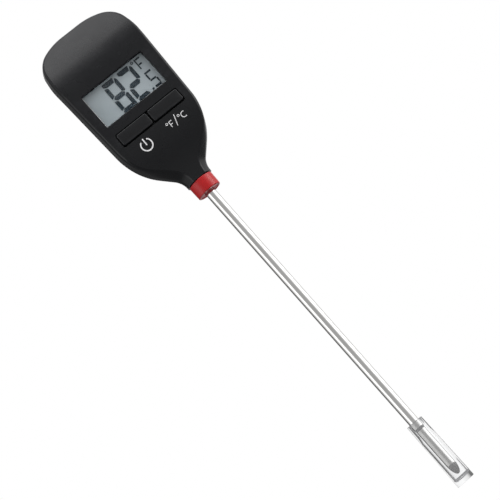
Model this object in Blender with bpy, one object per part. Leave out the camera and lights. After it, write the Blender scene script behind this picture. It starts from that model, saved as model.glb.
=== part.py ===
"""Digital soil thermometer probe: a flat head with a display, a long steel stem and a clear tip sleeve.

Frame: metres, +Z up. The stem runs down the Z axis, the display faces -Y, and the origin lies on the
stem's axis at the lower end face of the red neck collar. The head is above the origin, the tip below it.
"""
import math

import bmesh
import bpy

MM = 0.001
GAP = 0.3 * MM                      # clearance between neighbouring pieces

# Stem and tip
STEM_RADIUS = 2.0 * MM
STEM_BORE = 1.6 * MM
STEM_TOP = 13.0 * MM
TIP_RADIUS = 1.75 * MM
TIP_BORE = 1.35 * MM
TIP_STEP_Z = -110.2 * MM            # where the stem narrows
TIP_DOME_Z = -126.2 * MM            # where the rounded point begins
TIP_Z = -130.6 * MM

# Neck collar, round the lower end of the shells
COLLAR_HEIGHT = 5.2 * MM
COLLAR_RADIUS_TOP = 4.88 * MM
COLLAR_RADIUS_BASE = 4.75 * MM
COLLAR_FLOOR = 1.2 * MM
SPIGOT_RADIUS = 4.0 * MM
SPIGOT_BASE = 3.2 * MM
NECK_BORE = STEM_RADIUS + GAP

# Head outline, right half: corner x, corner z, corner radius
NECK_BASE = COLLAR_HEIGHT + GAP
HEAD_TOP = 78.5 * MM
NECK_HALF_WIDTH = 5.3 * MM
OUTLINE = (
    (NECK_HALF_WIDTH, NECK_BASE, 0.0),
    (NECK_HALF_WIDTH, 8.7 * MM, 6.8 * MM),
    (17.4 * MM, 21.1 * MM, 23.7 * MM),
    (19.25 * MM, 64.0 * MM, 30.0 * MM),
    (17.65 * MM, 74.6 * MM, 10.2 * MM),
    (8.0 * MM, HEAD_TOP, 21.5 * MM),
    (2.0 * MM, HEAD_TOP, 0.0),
)
ARC_STEPS = 6

# Head depth: the joint plane between the shells moves forward from the stem's axis to the head, and back
# again towards the head's top
JOINT_SHIFT = -2.6 * MM
TOP_SHIFT = 3.3 * MM
TOP_SHIFT_START = 56.0 * MM
TOP_SHIFT_END = 80.5 * MM
FLAT_TOP = 57.2 * MM                # the face stays flat up to this height
FRONT_DEPTH = 6.1 * MM
FRONT_DEPTH_NECK = 4.7 * MM
REAR_DEPTH = 9.1 * MM
REAR_DEPTH_NECK = 5.0 * MM
NECK_END = 8.0 * MM                 # below this height the section is the neck's
HEAD_START = 30.0 * MM              # above this height the section is the head's
FRONT_ROLL_START = 58.9 * MM
FRONT_ROLL_LENGTH = 23.0 * MM
REAR_ROLL_START = 57.0 * MM
REAR_ROLL_LENGTH = 25.0 * MM
WALL = 1.6 * MM
CAVITY_FLOOR = 8.8 * MM

# Edge sections of the front shell: inset from the outline, fraction of the depth
HEAD_EDGE = ((0.0, 0.0), (0.2 * MM, 0.5), (0.35 * MM, 0.8), (0.7 * MM, 0.94), (1.3 * MM, 1.0))
NECK_EDGE = ((0.0, 0.0), (0.25 * MM, 0.3), (1.3 * MM, 0.65), (2.5 * MM, 0.97), (3.1 * MM, 1.0))
EDGE_NECK_END = 9.0 * MM
EDGE_HEAD_START = 22.0 * MM
REAR_ROUND = 6.6 * MM               # how far the rear shell's rounding reaches in from the outline
REAR_TAPER = 0.8 * MM               # how much narrower the rear shell is at its back, besides its rounding
REAR_RING_ANGLES = (0.0, 16.0, 34.0, 52.0, 71.0, 90.0)

# Display
WINDOW_WIDTH = 27.2 * MM
WINDOW_HEIGHT = 14.6 * MM
WINDOW_X = -0.25 * MM
WINDOW_Z = 46.45 * MM
FACE_Y = JOINT_SHIFT - FRONT_DEPTH
INNER_FACE_Y = FACE_Y + WALL
LENS_FRONT_Y = FACE_Y + 0.5 * MM
LENS_THICKNESS = 1.0 * MM
GLASS_HALF_WIDTH = 14.5 * MM
GLASS_THICKNESS = 0.7 * MM
GLASS_LOW_Z = 36.9 * MM
GLASS_HIGH_Z = 55.9 * MM
REAR_GLASS_LOW_Z = 38.8 * MM
FRONT_GLASS_Y = INNER_FACE_Y + GAP
REAR_GLASS_Y = FRONT_GLASS_Y + GLASS_THICKNESS + GAP
REFLECTOR_Y = REAR_GLASS_Y + GLASS_THICKNESS + GAP
REFLECTOR_THICKNESS = 0.2 * MM
HOLDER_RIM = 0.7 * MM

# Circuit board and what stands on it
BOARD_FRONT_Y = -3.2 * MM
BOARD_THICKNESS = 1.0 * MM
BOARD_REAR_Y = BOARD_FRONT_Y + BOARD_THICKNESS
BOARD_HALF_OUTLINE = ((6.2 * MM, 16.0 * MM), (6.2 * MM, 27.6 * MM), (15.0 * MM, 27.6 * MM),
                      (15.0 * MM, 59.0 * MM), (8.8 * MM, 59.0 * MM), (8.8 * MM, 70.0 * MM))
CHIP_Z = 64.5 * MM
CHIP_RADIUS = 4.0 * MM
CHIP_HEIGHT = 1.1 * MM

# Keys and their switches
KEY_Z = 32.45 * MM
KEY_HEIGHT = 4.7 * MM
KEY_INNER_X = 0.35 * MM
KEY_OUTER_X = 13.6 * MM
KEY_PROUD = 0.5 * MM
KEY_FLANGE = 0.6 * MM
KEY_FLANGE_THICKNESS = 0.7 * MM
KEY_STEM_RADIUS = 1.2 * MM
KEY_STEM_END_Y = -5.3 * MM
SWITCH_X = 7.0 * MM
SWITCH_SIZE = 5.0 * MM
SWITCH_FRONT_Y = -4.3 * MM
PLUNGER_RADIUS = 1.0 * MM
PLUNGER_FRONT_Y = -5.0 * MM
PLUNGER_LENGTH = 1.0 * MM

# Button cell, its holder and its cover in the back
CELL_RADIUS = 5.8 * MM
CELL_THICKNESS = 5.4 * MM
CELL_FRONT_Y = -1.4 * MM
COVER_Z = 46.0 * MM
HOLDER_RADIUS = 8.0 * MM
HOLDER_INNER = 6.9 * MM
HOLDER_REAR_Y = 2.6 * MM
CONTACT_Y = BOARD_REAR_Y + GAP
CONTACT_THICKNESS = 0.2 * MM
REAR_FACE_Y = JOINT_SHIFT + REAR_DEPTH
RECESS_RADIUS = 10.4 * MM
RECESS_FLOOR_Y = 5.1 * MM
LEDGE_REAR_Y = 4.0 * MM             # the ledge's inner side
LEDGE_HOLE = 8.7 * MM
LEDGE_OUTER = 11.8 * MM
COVER_RADIUS = 10.1 * MM
COVER_FACE_Y = REAR_FACE_Y - 0.05 * MM
COVER_FLANGE_Y = 5.9 * MM
COVER_BOSS = 8.4 * MM
COVER_BOSS_Y = 4.35 * MM
COVER_CUP = 7.0 * MM
LUG_RADIUS = 9.6 * MM
LUG_Y = 3.1 * MM
LUG_THICKNESS = 0.6 * MM
LUG_HALF_ANGLE = 16.0
NOTCH_HALF_ANGLE = 20.0
NOTCH_ANGLE = -50.0                 # the cover turns this far to bring its lugs under the notches
COIN_SLOT_LENGTH = 13.0 * MM
COIN_SLOT_WIDTH = 1.8 * MM
COIN_SLOT_DEPTH = 1.1 * MM
GASKET_Y = 5.35 * MM
GASKET_THICKNESS = 0.3 * MM

# Case screws
SCREWS = (("upper_left", -12.0 * MM, 65.0 * MM), ("upper_right", 12.0 * MM, 65.0 * MM),
          ("lower_left", -9.2 * MM, 24.6 * MM), ("lower_right", 9.2 * MM, 24.6 * MM))
SCREW_HEAD_RADIUS = 1.75 * MM
SCREW_HEAD_HEIGHT = 1.2 * MM
SCREW_HEAD_Y = 3.6 * MM
SCREW_SHANK_RADIUS = 0.85 * MM
SCREW_END_Y = -4.3 * MM
SCREW_SLOT = 0.5 * MM
COUNTERBORE_RADIUS = 2.1 * MM
COUNTERBORE_FLOOR_Y = SCREW_HEAD_Y - GAP
PILOT_RADIUS = 1.15 * MM
PILOT_END_Y = -4.8 * MM
REAR_POST_RADIUS = 2.6 * MM
REAR_POST_Y = -0.85 * MM
REAR_POST_END_Y = 4.7 * MM
FRONT_POST_RADIUS = 2.2 * MM
FRONT_POST_END_Y = REAR_POST_Y - GAP
POST_ROOT = 0.9 * MM                # how deep a post's root sits below the front face

# Sensor, leads, seal and sleeve
FLANGE_RADIUS = 3.0 * MM
FLANGE_HEIGHT = 1.5 * MM
SEAL_MINOR = 0.62 * MM
SEAL_MAJOR = 3.1 * MM
SEAL_Z = 2.2 * MM
BEAD_RADIUS = 0.85 * MM
BEAD_LENGTH = 2.4 * MM
BEAD_Z = -124.1 * MM
LEAD_RADIUS = 0.3 * MM
LEAD_X = 0.45 * MM
LEAD_LOW_Z = -122.5 * MM
INSULATOR_BORE = 1.05 * MM
INSULATOR_RADIUS = 1.3 * MM
INSULATOR_TOP_Z = 11.0 * MM
INSULATOR_LOW_Z = -108.0 * MM
SLEEVE_MOUTH_Z = -107.8 * MM
SLEEVE_END_Z = -134.1 * MM
SLEEVE_MOUTH_RADIUS = 3.2 * MM
SLEEVE_END_RADIUS = 3.55 * MM
SLEEVE_GRIP_LENGTH = 5.0 * MM
SLEEVE_BORE = 2.65 * MM
SLEEVE_FLOOR = 1.5 * MM
TURN_STEPS = 24


# ---------------------------------------------------------------- scene helpers

def clear_scene():
    """Remove every object of the open scene."""
    for old in list(bpy.data.objects):
        bpy.data.objects.remove(old, do_unlink=True)


def finish(name, colour, roughness, metallic=0.0, alpha=1.0):
    """Return a Principled material with plain values."""
    material = bpy.data.materials.new(name)
    material.use_nodes = True
    shader = material.node_tree.nodes["Principled BSDF"]
    shader.inputs["Base Color"].default_value = (*colour, 1.0)
    shader.inputs["Roughness"].default_value = roughness
    shader.inputs["Metallic"].default_value = metallic
    shader.inputs["Alpha"].default_value = alpha
    return material


def add_object(name, bm, material=None, place=(0.0, 0.0, 0.0), turn=(0.0, 0.0, 0.0)):
    """Turn a bmesh into a named object at a place, with its faces facing out."""
    bmesh.ops.recalc_face_normals(bm, faces=bm.faces)
    mesh = bpy.data.meshes.new(name)
    bm.to_mesh(mesh)
    bm.free()
    mesh.shade_smooth()
    mesh.set_sharp_from_angle(angle=math.radians(30.0))
    made = bpy.data.objects.new(name, mesh)
    bpy.context.scene.collection.objects.link(made)
    made.location = place
    made.rotation_euler = turn
    if material is not None:
        made.data.materials.append(material)
    return made


def as_tool(made):
    """Mark an object as a cutter or an addition, which isn't a piece of its own."""
    made.hide_render = True
    made.display_type = 'WIRE'
    return made


def combine(target, tool, operation='DIFFERENCE'):
    """Cut a tool out of a target, or join the tool to it."""
    modifier = target.modifiers.new(tool.name, 'BOOLEAN')
    modifier.operation = operation
    modifier.solver = 'EXACT'
    modifier.object = tool
    return target


def weld(made, distance=0.004 * MM):
    """Merge the vertices that cuts leave almost on top of each other."""
    modifier = made.modifiers.new("weld", 'WELD')
    modifier.merge_threshold = distance
    return made


def soften(made, width, segments=2, angle=40.0):
    """Round an object's sharp edges."""
    modifier = made.modifiers.new("soft_edges", 'BEVEL')
    modifier.width = width
    modifier.segments = segments
    modifier.limit_method = 'ANGLE'
    modifier.angle_limit = math.radians(angle)
    return made


# ---------------------------------------------------------------- shape helpers

def box_mesh(low, high):
    """Return a bmesh box between two corners."""
    bm = bmesh.new()
    bmesh.ops.create_cube(bm, size=1.0)
    for vert in bm.verts:
        for axis in range(3):
            vert.co[axis] = low[axis] if vert.co[axis] < 0.0 else high[axis]
    return bm


def block(name, low, high, material=None):
    """Make a box whose origin is its centre."""
    centre = [(a + b) / 2.0 for a, b in zip(low, high)]
    bm = box_mesh([a - c for a, c in zip(low, centre)], [b - c for b, c in zip(high, centre)])
    return add_object(name, bm, material, centre)


def turned_mesh(profile, steps=TURN_STEPS):
    """Spin a closed profile of (radius, height) points about Z."""
    bm = bmesh.new()
    verts = [bm.verts.new((radius, 0.0, height)) for radius, height in profile]
    edges = [bm.edges.new(pair) for pair in zip(verts, verts[1:])]
    if profile[0][0] > 0.0:
        edges.append(bm.edges.new((verts[-1], verts[0])))
    bmesh.ops.spin(bm, geom=verts + edges, cent=(0.0, 0.0, 0.0), axis=(0.0, 0.0, 1.0),
                   angle=math.tau, steps=steps)
    bmesh.ops.remove_doubles(bm, verts=bm.verts, dist=0.002 * MM)
    return bm


def turned(name, profile, material=None, place=(0.0, 0.0, 0.0), backward=False, steps=TURN_STEPS):
    """Make a turned piece along Z, or along +Y when backward is set."""
    turn = (math.radians(-90.0), 0.0, 0.0) if backward else (0.0, 0.0, 0.0)
    return add_object(name, turned_mesh(profile, steps), material, place, turn)


def rod(radius, low, high):
    """Profile of a plain cylinder."""
    return ((0.0, low), (radius, low), (radius, high), (0.0, high))


def ring(inner, outer, low, high):
    """Profile of a plain ring."""
    return ((inner, low), (outer, low), (outer, high), (inner, high))


def prism_mesh(points, low_y, high_y):
    """Extrude an outline of (x, z) points along Y."""
    bm = bmesh.new()
    face = bm.faces.new([bm.verts.new((x, low_y, z)) for x, z in points])
    grown = bmesh.ops.extrude_face_region(bm, geom=[face])
    moved = [item for item in grown["geom"] if isinstance(item, bmesh.types.BMVert)]
    bmesh.ops.translate(bm, verts=moved, vec=(0.0, high_y - low_y, 0.0))
    return bm


def wedge_points(inner, outer, centre_angle, half_angle, steps=6):
    """Outline of a ring sector in the XZ plane, angles in degrees from +X towards +Z."""
    angles = [math.radians(centre_angle + half_angle * (2.0 * i / steps - 1.0)) for i in range(steps + 1)]
    far = [(outer * math.cos(a), outer * math.sin(a)) for a in angles]
    near = [(inner * math.cos(a), inner * math.sin(a)) for a in reversed(angles)]
    return far + near


# ---------------------------------------------------------------- head shape

def smooth_step(value, low, high):
    """Return 0 below low and 1 above high, with a smooth rise between them."""
    t = min(1.0, max(0.0, (value - low) / (high - low)))
    return t * t * (3.0 - 2.0 * t)


def mix(a, b, t):
    """Blend two values."""
    return a + (b - a) * t


def head_share(z):
    """Return 0 at the neck and 1 at the head."""
    return smooth_step(z, NECK_END, HEAD_START)


def top_shift(z):
    """How far the joint plane moves back towards the head's top."""
    return TOP_SHIFT * smooth_step(z, TOP_SHIFT_START, TOP_SHIFT_END)


def joint_plane(z):
    """Depth of the plane between the shells at a height."""
    return JOINT_SHIFT * head_share(z) + top_shift(z)


def roll_off(z, start, length):
    """Elliptic fall of the depth towards the head's top."""
    reach = max(0.0, z - start) / length
    return math.sqrt(max(0.0, 1.0 - reach * reach))


def front_depth(z):
    """Depth of the front face in front of the joint plane."""
    return mix(FRONT_DEPTH_NECK, FRONT_DEPTH, head_share(z)) * roll_off(z, FRONT_ROLL_START, FRONT_ROLL_LENGTH)


def rear_depth(z):
    """Depth of the back behind the joint plane."""
    depth = mix(REAR_DEPTH_NECK, REAR_DEPTH, head_share(z)) - top_shift(z)
    return depth * roll_off(z, REAR_ROLL_START, REAR_ROLL_LENGTH)


def rounded_path(corners, steps=ARC_STEPS):
    """Replace each corner (x, z, radius) by an arc; return (x, z, normal x, normal z) points."""
    path = []
    for index, (x, z, radius) in enumerate(corners):
        if radius == 0.0:
            continue
        before, after = corners[index - 1], corners[index + 1]
        a = math.atan2(z - before[1], x - before[0])
        b = math.atan2(after[1] - z, after[0] - x)
        tangent = abs(radius * math.tan((b - a) / 2.0))
        side = 1.0 if b > a else -1.0
        centre = (x - tangent * math.cos(a) - side * radius * math.sin(a),
                  z - tangent * math.sin(a) + side * radius * math.cos(a))
        for step in range(steps + 1):
            heading = mix(a, b, step / steps)
            out = (math.sin(heading), -math.cos(heading))
            path.append((centre[0] + side * radius * out[0], centre[1] + side * radius * out[1], *out))
    return [(corners[0][0], corners[0][1], 1.0, 0.0)] + path


def head_stations():
    """Return the outline's points, with one more where the flat face ends."""
    path = rounded_path(OUTLINE)
    above = next(i for i, point in enumerate(path) if point[1] > FLAT_TOP)
    low, high = path[above - 1], path[above]
    share = (FLAT_TOP - low[1]) / (high[1] - low[1])
    path.insert(above, tuple(mix(a, b, share) for a, b in zip(low, high)))
    return path


def edge_rings(side, z, half_width):
    """Inset and depth fraction of each ring of a shell's edge at a height."""
    if side < 0:
        head_part = smooth_step(z, EDGE_NECK_END, EDGE_HEAD_START)
        pairs = zip(NECK_EDGE, HEAD_EDGE)
        return [(mix(n[0], h[0], head_part), mix(n[1], h[1], head_part)) for n, h in pairs]
    reach = min(REAR_ROUND, half_width - 0.5 * MM)
    taper = REAR_TAPER * head_share(z)
    angles = [math.radians(a) for a in REAR_RING_ANGLES]
    return [(reach * (1.0 - math.cos(a)) + taper * math.sin(a), math.sin(a)) for a in angles]


def shell_point(side, station, ring_index, wall, joint_gap):
    """Return the point of one ring at one station of the outline."""
    x, z, out_x, out_z = station
    inset, fraction = edge_rings(side, z, x if out_x > 0.7 else 1.0)[ring_index]
    inset += wall
    height = max(z - out_z * inset, CAVITY_FLOOR if wall else NECK_BASE)
    depth = front_depth(height) if side < 0 else rear_depth(height)
    y = joint_plane(height) + side * (joint_gap + (depth - wall - joint_gap) * fraction)
    return (max(x - out_x * inset, 0.3 * MM), y, height)


def shell_solid(side, wall=0.0, joint_gap=GAP / 2.0):
    """Return one half of the head as a solid: its outer form, or its cavity when wall is given."""
    stations = head_stations()
    if wall:
        stations = [s for s in stations if s[1] - s[3] * wall > CAVITY_FLOOR + 0.5 * MM]
        low = stations[0]
        stations.insert(0, (low[0] - 1.0 * MM, CAVITY_FLOOR, 1.0, 0.0))
    rings = len(HEAD_EDGE) if side < 0 else len(REAR_RING_ANGLES)
    bm = bmesh.new()
    grid = []
    for ring_index in range(rings):
        right = [shell_point(side, s, ring_index, wall, joint_gap) for s in stations]
        left = [(-x, y, z) for x, y, z in reversed(right)]
        grid.append([bm.verts.new(point) for point in right + left])
    count = len(grid[0])
    for lower, upper in zip(grid, grid[1:]):
        for i in range(count - 1):
            bm.faces.new((lower[i], lower[i + 1], upper[i + 1], upper[i]))
    for chain in (grid[0], grid[-1]):
        for i in range(count // 2 - 1):
            bm.faces.new((chain[i], chain[i + 1], chain[count - 2 - i], chain[count - 1 - i]))
    rim = [chain[0] for chain in grid] + [chain[-1] for chain in reversed(grid)]
    bm.faces.new(rim)
    # the edge faces are slightly twisted, and flat triangles cut cleanly
    bmesh.ops.triangulate(bm, faces=bm.faces)
    return bm


def half_round(side):
    """Return the half spigot that goes down into the collar."""
    steps = TURN_STEPS // 2
    bm = bmesh.new()
    points = []
    for step in range(steps + 1):
        angle = math.pi * step / steps
        y = side * (GAP + (SPIGOT_RADIUS - GAP) * math.sin(angle))
        points.append((SPIGOT_RADIUS * math.cos(angle), y))
    face = bm.faces.new([bm.verts.new((x, y, SPIGOT_BASE)) for x, y in points])
    grown = bmesh.ops.extrude_face_region(bm, geom=[face])
    moved = [item for item in grown["geom"] if isinstance(item, bmesh.types.BMVert)]
    bmesh.ops.translate(bm, verts=moved, vec=(0.0, 0.0, NECK_BASE + 1.2 * MM - SPIGOT_BASE))
    return bm


def shell(name, side, material, additions):
    """Make the hollow half of the head with its additions, its spigot and the stem's bore."""
    made = add_object(name, shell_solid(side), material)
    # the cavity reaches past the joint plane, so that the half is open towards its neighbour
    cavity = as_tool(add_object(name + "_cavity", shell_solid(side, WALL, -1.0 * MM)))
    combine(made, cavity)
    combine(made, as_tool(add_object(name + "_spigot", half_round(side))), 'UNION')
    for addition in additions:
        combine(made, as_tool(addition), 'UNION')
    bore = as_tool(turned(name + "_bore", rod(NECK_BORE, 0.0, CAVITY_FLOOR + 1.0 * MM)))
    combine(made, bore)
    return made


# ---------------------------------------------------------------- sub-parts

def make_front_shell(material):
    """Front half with the window, the key opening and the screw posts."""
    posts = []
    for label, x, z in SCREWS:
        root_y = joint_plane(z) - front_depth(z) + POST_ROOT
        posts.append(turned("front_post_" + label, rod(FRONT_POST_RADIUS, root_y, FRONT_POST_END_Y),
                            place=(x, 0.0, z), backward=True, steps=16))
    made = shell("front_shell", -1, material, posts)
    for label, x, z in SCREWS:
        pilot = turned("front_pilot_" + label, rod(PILOT_RADIUS, PILOT_END_Y, 0.0),
                       place=(x, 0.0, z), backward=True, steps=12)
        combine(made, as_tool(pilot))
    depth = (FACE_Y - 1.0 * MM, INNER_FACE_Y + 1.0 * MM)
    half_width, half_height = WINDOW_WIDTH / 2.0, WINDOW_HEIGHT / 2.0
    window = block("window_opening", (WINDOW_X - half_width, depth[0], WINDOW_Z - half_height),
                   (WINDOW_X + half_width, depth[1], WINDOW_Z + half_height))
    combine(made, as_tool(window))
    half_height = KEY_HEIGHT / 2.0 + GAP
    keys = block("key_opening", (-KEY_OUTER_X - GAP, depth[0], KEY_Z - half_height),
                 (KEY_OUTER_X + GAP, depth[1], KEY_Z + half_height))
    combine(made, as_tool(soften(keys, 0.8 * MM)))
    return made


def make_rear_shell(material):
    """Back half with the battery opening, its ledge and notches, and the screw posts."""
    centre = (0.0, 0.0, COVER_Z)
    additions = [turned("ledge", rod(LEDGE_OUTER, LEDGE_REAR_Y, REAR_FACE_Y - 0.5 * MM), place=centre,
                        backward=True, steps=36)]
    for label, x, z in SCREWS:
        additions.append(turned("rear_post_" + label, rod(REAR_POST_RADIUS, REAR_POST_Y, REAR_POST_END_Y),
                                place=(x, 0.0, z), backward=True, steps=16))
    made = shell("rear_shell", 1, material, additions)
    for label, x, z in SCREWS:
        hole = turned("rear_hole_" + label,
                      ((0.0, REAR_POST_Y - 1.0 * MM), (PILOT_RADIUS, REAR_POST_Y - 1.0 * MM),
                       (PILOT_RADIUS, COUNTERBORE_FLOOR_Y), (COUNTERBORE_RADIUS, COUNTERBORE_FLOOR_Y),
                       (COUNTERBORE_RADIUS, REAR_FACE_Y + 1.0 * MM), (0.0, REAR_FACE_Y + 1.0 * MM)),
                      place=(x, 0.0, z), backward=True, steps=12)
        weld(combine(made, as_tool(hole)))
    opening = turned("cover_opening",
                     ((0.0, 0.0), (LEDGE_HOLE, 0.0), (LEDGE_HOLE, RECESS_FLOOR_Y), (RECESS_RADIUS, RECESS_FLOOR_Y),
                      (RECESS_RADIUS, REAR_FACE_Y + 1.0 * MM), (0.0, REAR_FACE_Y + 1.0 * MM)),
                     place=centre, backward=True, steps=36)
    weld(combine(made, as_tool(opening)))
    for label, angle in (("a", NOTCH_ANGLE), ("b", NOTCH_ANGLE + 180.0)):
        points = wedge_points(LEDGE_HOLE - 1.0 * MM, LUG_RADIUS + GAP, angle, NOTCH_HALF_ANGLE)
        notch = add_object("lug_notch_" + label, prism_mesh(points, LEDGE_REAR_Y - 1.0 * MM, RECESS_FLOOR_Y + 0.4 * MM),
                           place=centre)
        weld(combine(made, as_tool(notch)))
    return made


def make_display(clear, glass, film, frame, rubber):
    """Lens, display cell, reflector, holder and the conductive strip to the board."""
    half_width = WINDOW_WIDTH / 2.0 - GAP
    half_height = WINDOW_HEIGHT / 2.0 - GAP
    block("window_lens", (WINDOW_X - half_width, LENS_FRONT_Y, WINDOW_Z - half_height),
          (WINDOW_X + half_width, LENS_FRONT_Y + LENS_THICKNESS, WINDOW_Z + half_height), clear)
    block("lcd_front_glass", (-GLASS_HALF_WIDTH, FRONT_GLASS_Y, GLASS_LOW_Z),
          (GLASS_HALF_WIDTH, FRONT_GLASS_Y + GLASS_THICKNESS, GLASS_HIGH_Z), glass)
    block("lcd_rear_glass", (-GLASS_HALF_WIDTH, REAR_GLASS_Y, REAR_GLASS_LOW_Z),
          (GLASS_HALF_WIDTH, REAR_GLASS_Y + GLASS_THICKNESS, GLASS_HIGH_Z), glass)
    block("lcd_reflector", (-GLASS_HALF_WIDTH, REFLECTOR_Y, REAR_GLASS_LOW_Z),
          (GLASS_HALF_WIDTH, REFLECTOR_Y + REFLECTOR_THICKNESS, GLASS_HIGH_Z), film)
    inner = GLASS_HALF_WIDTH + GAP
    outer = inner + HOLDER_RIM
    low, high = GLASS_LOW_Z - GAP, GLASS_HIGH_Z + GAP
    back = BOARD_FRONT_Y - GAP
    holder = block("lcd_holder", (-outer, FRONT_GLASS_Y, low - 0.4 * MM), (outer, back, high + HOLDER_RIM), frame)
    opening = block("holder_opening", (-inner, FRONT_GLASS_Y - 1.0 * MM, low), (inner, back + 1.0 * MM, high))
    combine(holder, as_tool(opening))
    block("display_connector", (-GLASS_HALF_WIDTH + 0.9 * MM, REAR_GLASS_Y, GLASS_LOW_Z),
          (GLASS_HALF_WIDTH - 0.9 * MM, back, REAR_GLASS_LOW_Z - GAP), rubber)


def make_board(board, resin):
    """Circuit board and its resin-covered chip."""
    left = [(-x, z) for x, z in reversed(BOARD_HALF_OUTLINE)]
    points = list(BOARD_HALF_OUTLINE) + left
    add_object("circuit_board", prism_mesh(points, BOARD_FRONT_Y, BOARD_REAR_Y), board)
    base = BOARD_REAR_Y + GAP
    dome = [(0.0, base)]
    for step in range(6):
        angle = math.radians(18.0 * step)
        dome.append((CHIP_RADIUS * math.cos(angle), base + CHIP_HEIGHT * math.sin(angle)))
    dome[-1] = (0.0, base + CHIP_HEIGHT)
    turned("chip_blob", dome, resin, (0.0, 0.0, CHIP_Z), backward=True)


def make_key(name, side, keycap, switch_case, plunger):
    """One key with its inner flange and stem, and the switch that it presses."""
    centre_x = side * (KEY_INNER_X + KEY_OUTER_X) / 2.0
    half_width = (KEY_OUTER_X - KEY_INNER_X) / 2.0
    half_height = KEY_HEIGHT / 2.0
    top_y = FACE_Y - KEY_PROUD
    flange_y = INNER_FACE_Y + GAP
    key = add_object(name, box_mesh((-half_width, top_y, -half_height),
                                    (half_width, flange_y + 0.3 * MM, half_height)),
                     keycap, (centre_x, 0.0, KEY_Z))
    soften(key, 0.35 * MM)
    low_x, high_x = sorted((side * 0.18 * MM, side * (KEY_OUTER_X + KEY_FLANGE)))
    flange = block(name + "_flange", (low_x, flange_y, KEY_Z - half_height - KEY_FLANGE),
                   (high_x, flange_y + KEY_FLANGE_THICKNESS, KEY_Z + half_height + KEY_FLANGE))
    combine(key, as_tool(flange), 'UNION')
    stem = turned(name + "_stem", rod(KEY_STEM_RADIUS, flange_y + 0.3 * MM, KEY_STEM_END_Y),
                  place=(side * SWITCH_X, 0.0, KEY_Z), backward=True, steps=16)
    combine(key, as_tool(stem), 'UNION')

    switch = name.replace("button", "switch")
    half = SWITCH_SIZE / 2.0
    case = block(switch, (side * SWITCH_X - half, SWITCH_FRONT_Y, KEY_Z - half),
                 (side * SWITCH_X + half, BOARD_FRONT_Y - GAP, KEY_Z + half), switch_case)
    hole = turned(switch + "_hole", rod(PLUNGER_RADIUS + GAP, SWITCH_FRONT_Y - 1.0 * MM, BOARD_FRONT_Y),
                  place=(side * SWITCH_X, 0.0, KEY_Z), backward=True, steps=16)
    combine(case, as_tool(hole))
    turned(switch + "_plunger", rod(PLUNGER_RADIUS, PLUNGER_FRONT_Y, PLUNGER_FRONT_Y + PLUNGER_LENGTH), plunger,
           (side * SWITCH_X, 0.0, KEY_Z), backward=True, steps=16)


def make_battery(cell_metal, plastic, spring_metal):
    """Button cell, the ring that holds it, and its two contacts."""
    centre = (0.0, 0.0, COVER_Z)
    rear = CELL_FRONT_Y + CELL_THICKNESS
    step = 0.8 * MM
    profile = ((0.0, CELL_FRONT_Y), (CELL_RADIUS - step, CELL_FRONT_Y), (CELL_RADIUS - step, CELL_FRONT_Y + step),
               (CELL_RADIUS, CELL_FRONT_Y + 1.4 * step), (CELL_RADIUS, rear - 0.3 * MM),
               (CELL_RADIUS - 0.3 * MM, rear), (0.0, rear))
    turned("battery_cell", profile, cell_metal, centre, backward=True)
    turned("battery_holder", ring(HOLDER_INNER, HOLDER_RADIUS, CONTACT_Y, HOLDER_REAR_Y), plastic, centre,
           backward=True)
    block("battery_contact_negative", (-4.5 * MM, CONTACT_Y, COVER_Z - 1.5 * MM),
          (4.5 * MM, CONTACT_Y + CONTACT_THICKNESS, COVER_Z + 1.5 * MM), spring_metal)
    points = wedge_points(CELL_RADIUS + 0.35 * MM, CELL_RADIUS + 0.65 * MM, 90.0, 35.0)
    add_object("battery_contact_positive", prism_mesh(points, CONTACT_Y, HOLDER_REAR_Y), spring_metal, centre)


def make_battery_cover(plastic, rubber):
    """Coin-slot cover with two bayonet lugs, and the gasket under its flange."""
    centre = (0.0, 0.0, COVER_Z)
    profile = ((0.0, COVER_BOSS_Y), (COVER_CUP, COVER_BOSS_Y), (COVER_CUP, LUG_Y), (COVER_BOSS, LUG_Y),
               (COVER_BOSS, COVER_FLANGE_Y), (COVER_RADIUS, COVER_FLANGE_Y),
               (COVER_RADIUS, COVER_FACE_Y - 0.2 * MM), (COVER_RADIUS - 0.2 * MM, COVER_FACE_Y),
               (0.0, COVER_FACE_Y))
    cover = turned("battery_cover", profile, plastic, centre, backward=True, steps=36)
    for label, angle in (("a", 0.0), ("b", 180.0)):
        points = wedge_points(COVER_CUP + 0.6 * MM, LUG_RADIUS, angle, LUG_HALF_ANGLE)
        lug = add_object("lug_" + label, prism_mesh(points, LUG_Y, LUG_Y + LUG_THICKNESS), place=centre)
        combine(cover, as_tool(lug), 'UNION')
    half = COIN_SLOT_LENGTH / 2.0
    slot = block("coin_slot", (-half, COVER_FACE_Y - COIN_SLOT_DEPTH, COVER_Z - COIN_SLOT_WIDTH / 2.0),
                 (half, COVER_FACE_Y + 1.0 * MM, COVER_Z + COIN_SLOT_WIDTH / 2.0))
    combine(cover, as_tool(slot))
    turned("battery_cover_gasket", ring(COVER_BOSS + 0.5 * MM, COVER_RADIUS, GASKET_Y, GASKET_Y + GASKET_THICKNESS),
           rubber, centre, backward=True, steps=36)


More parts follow.
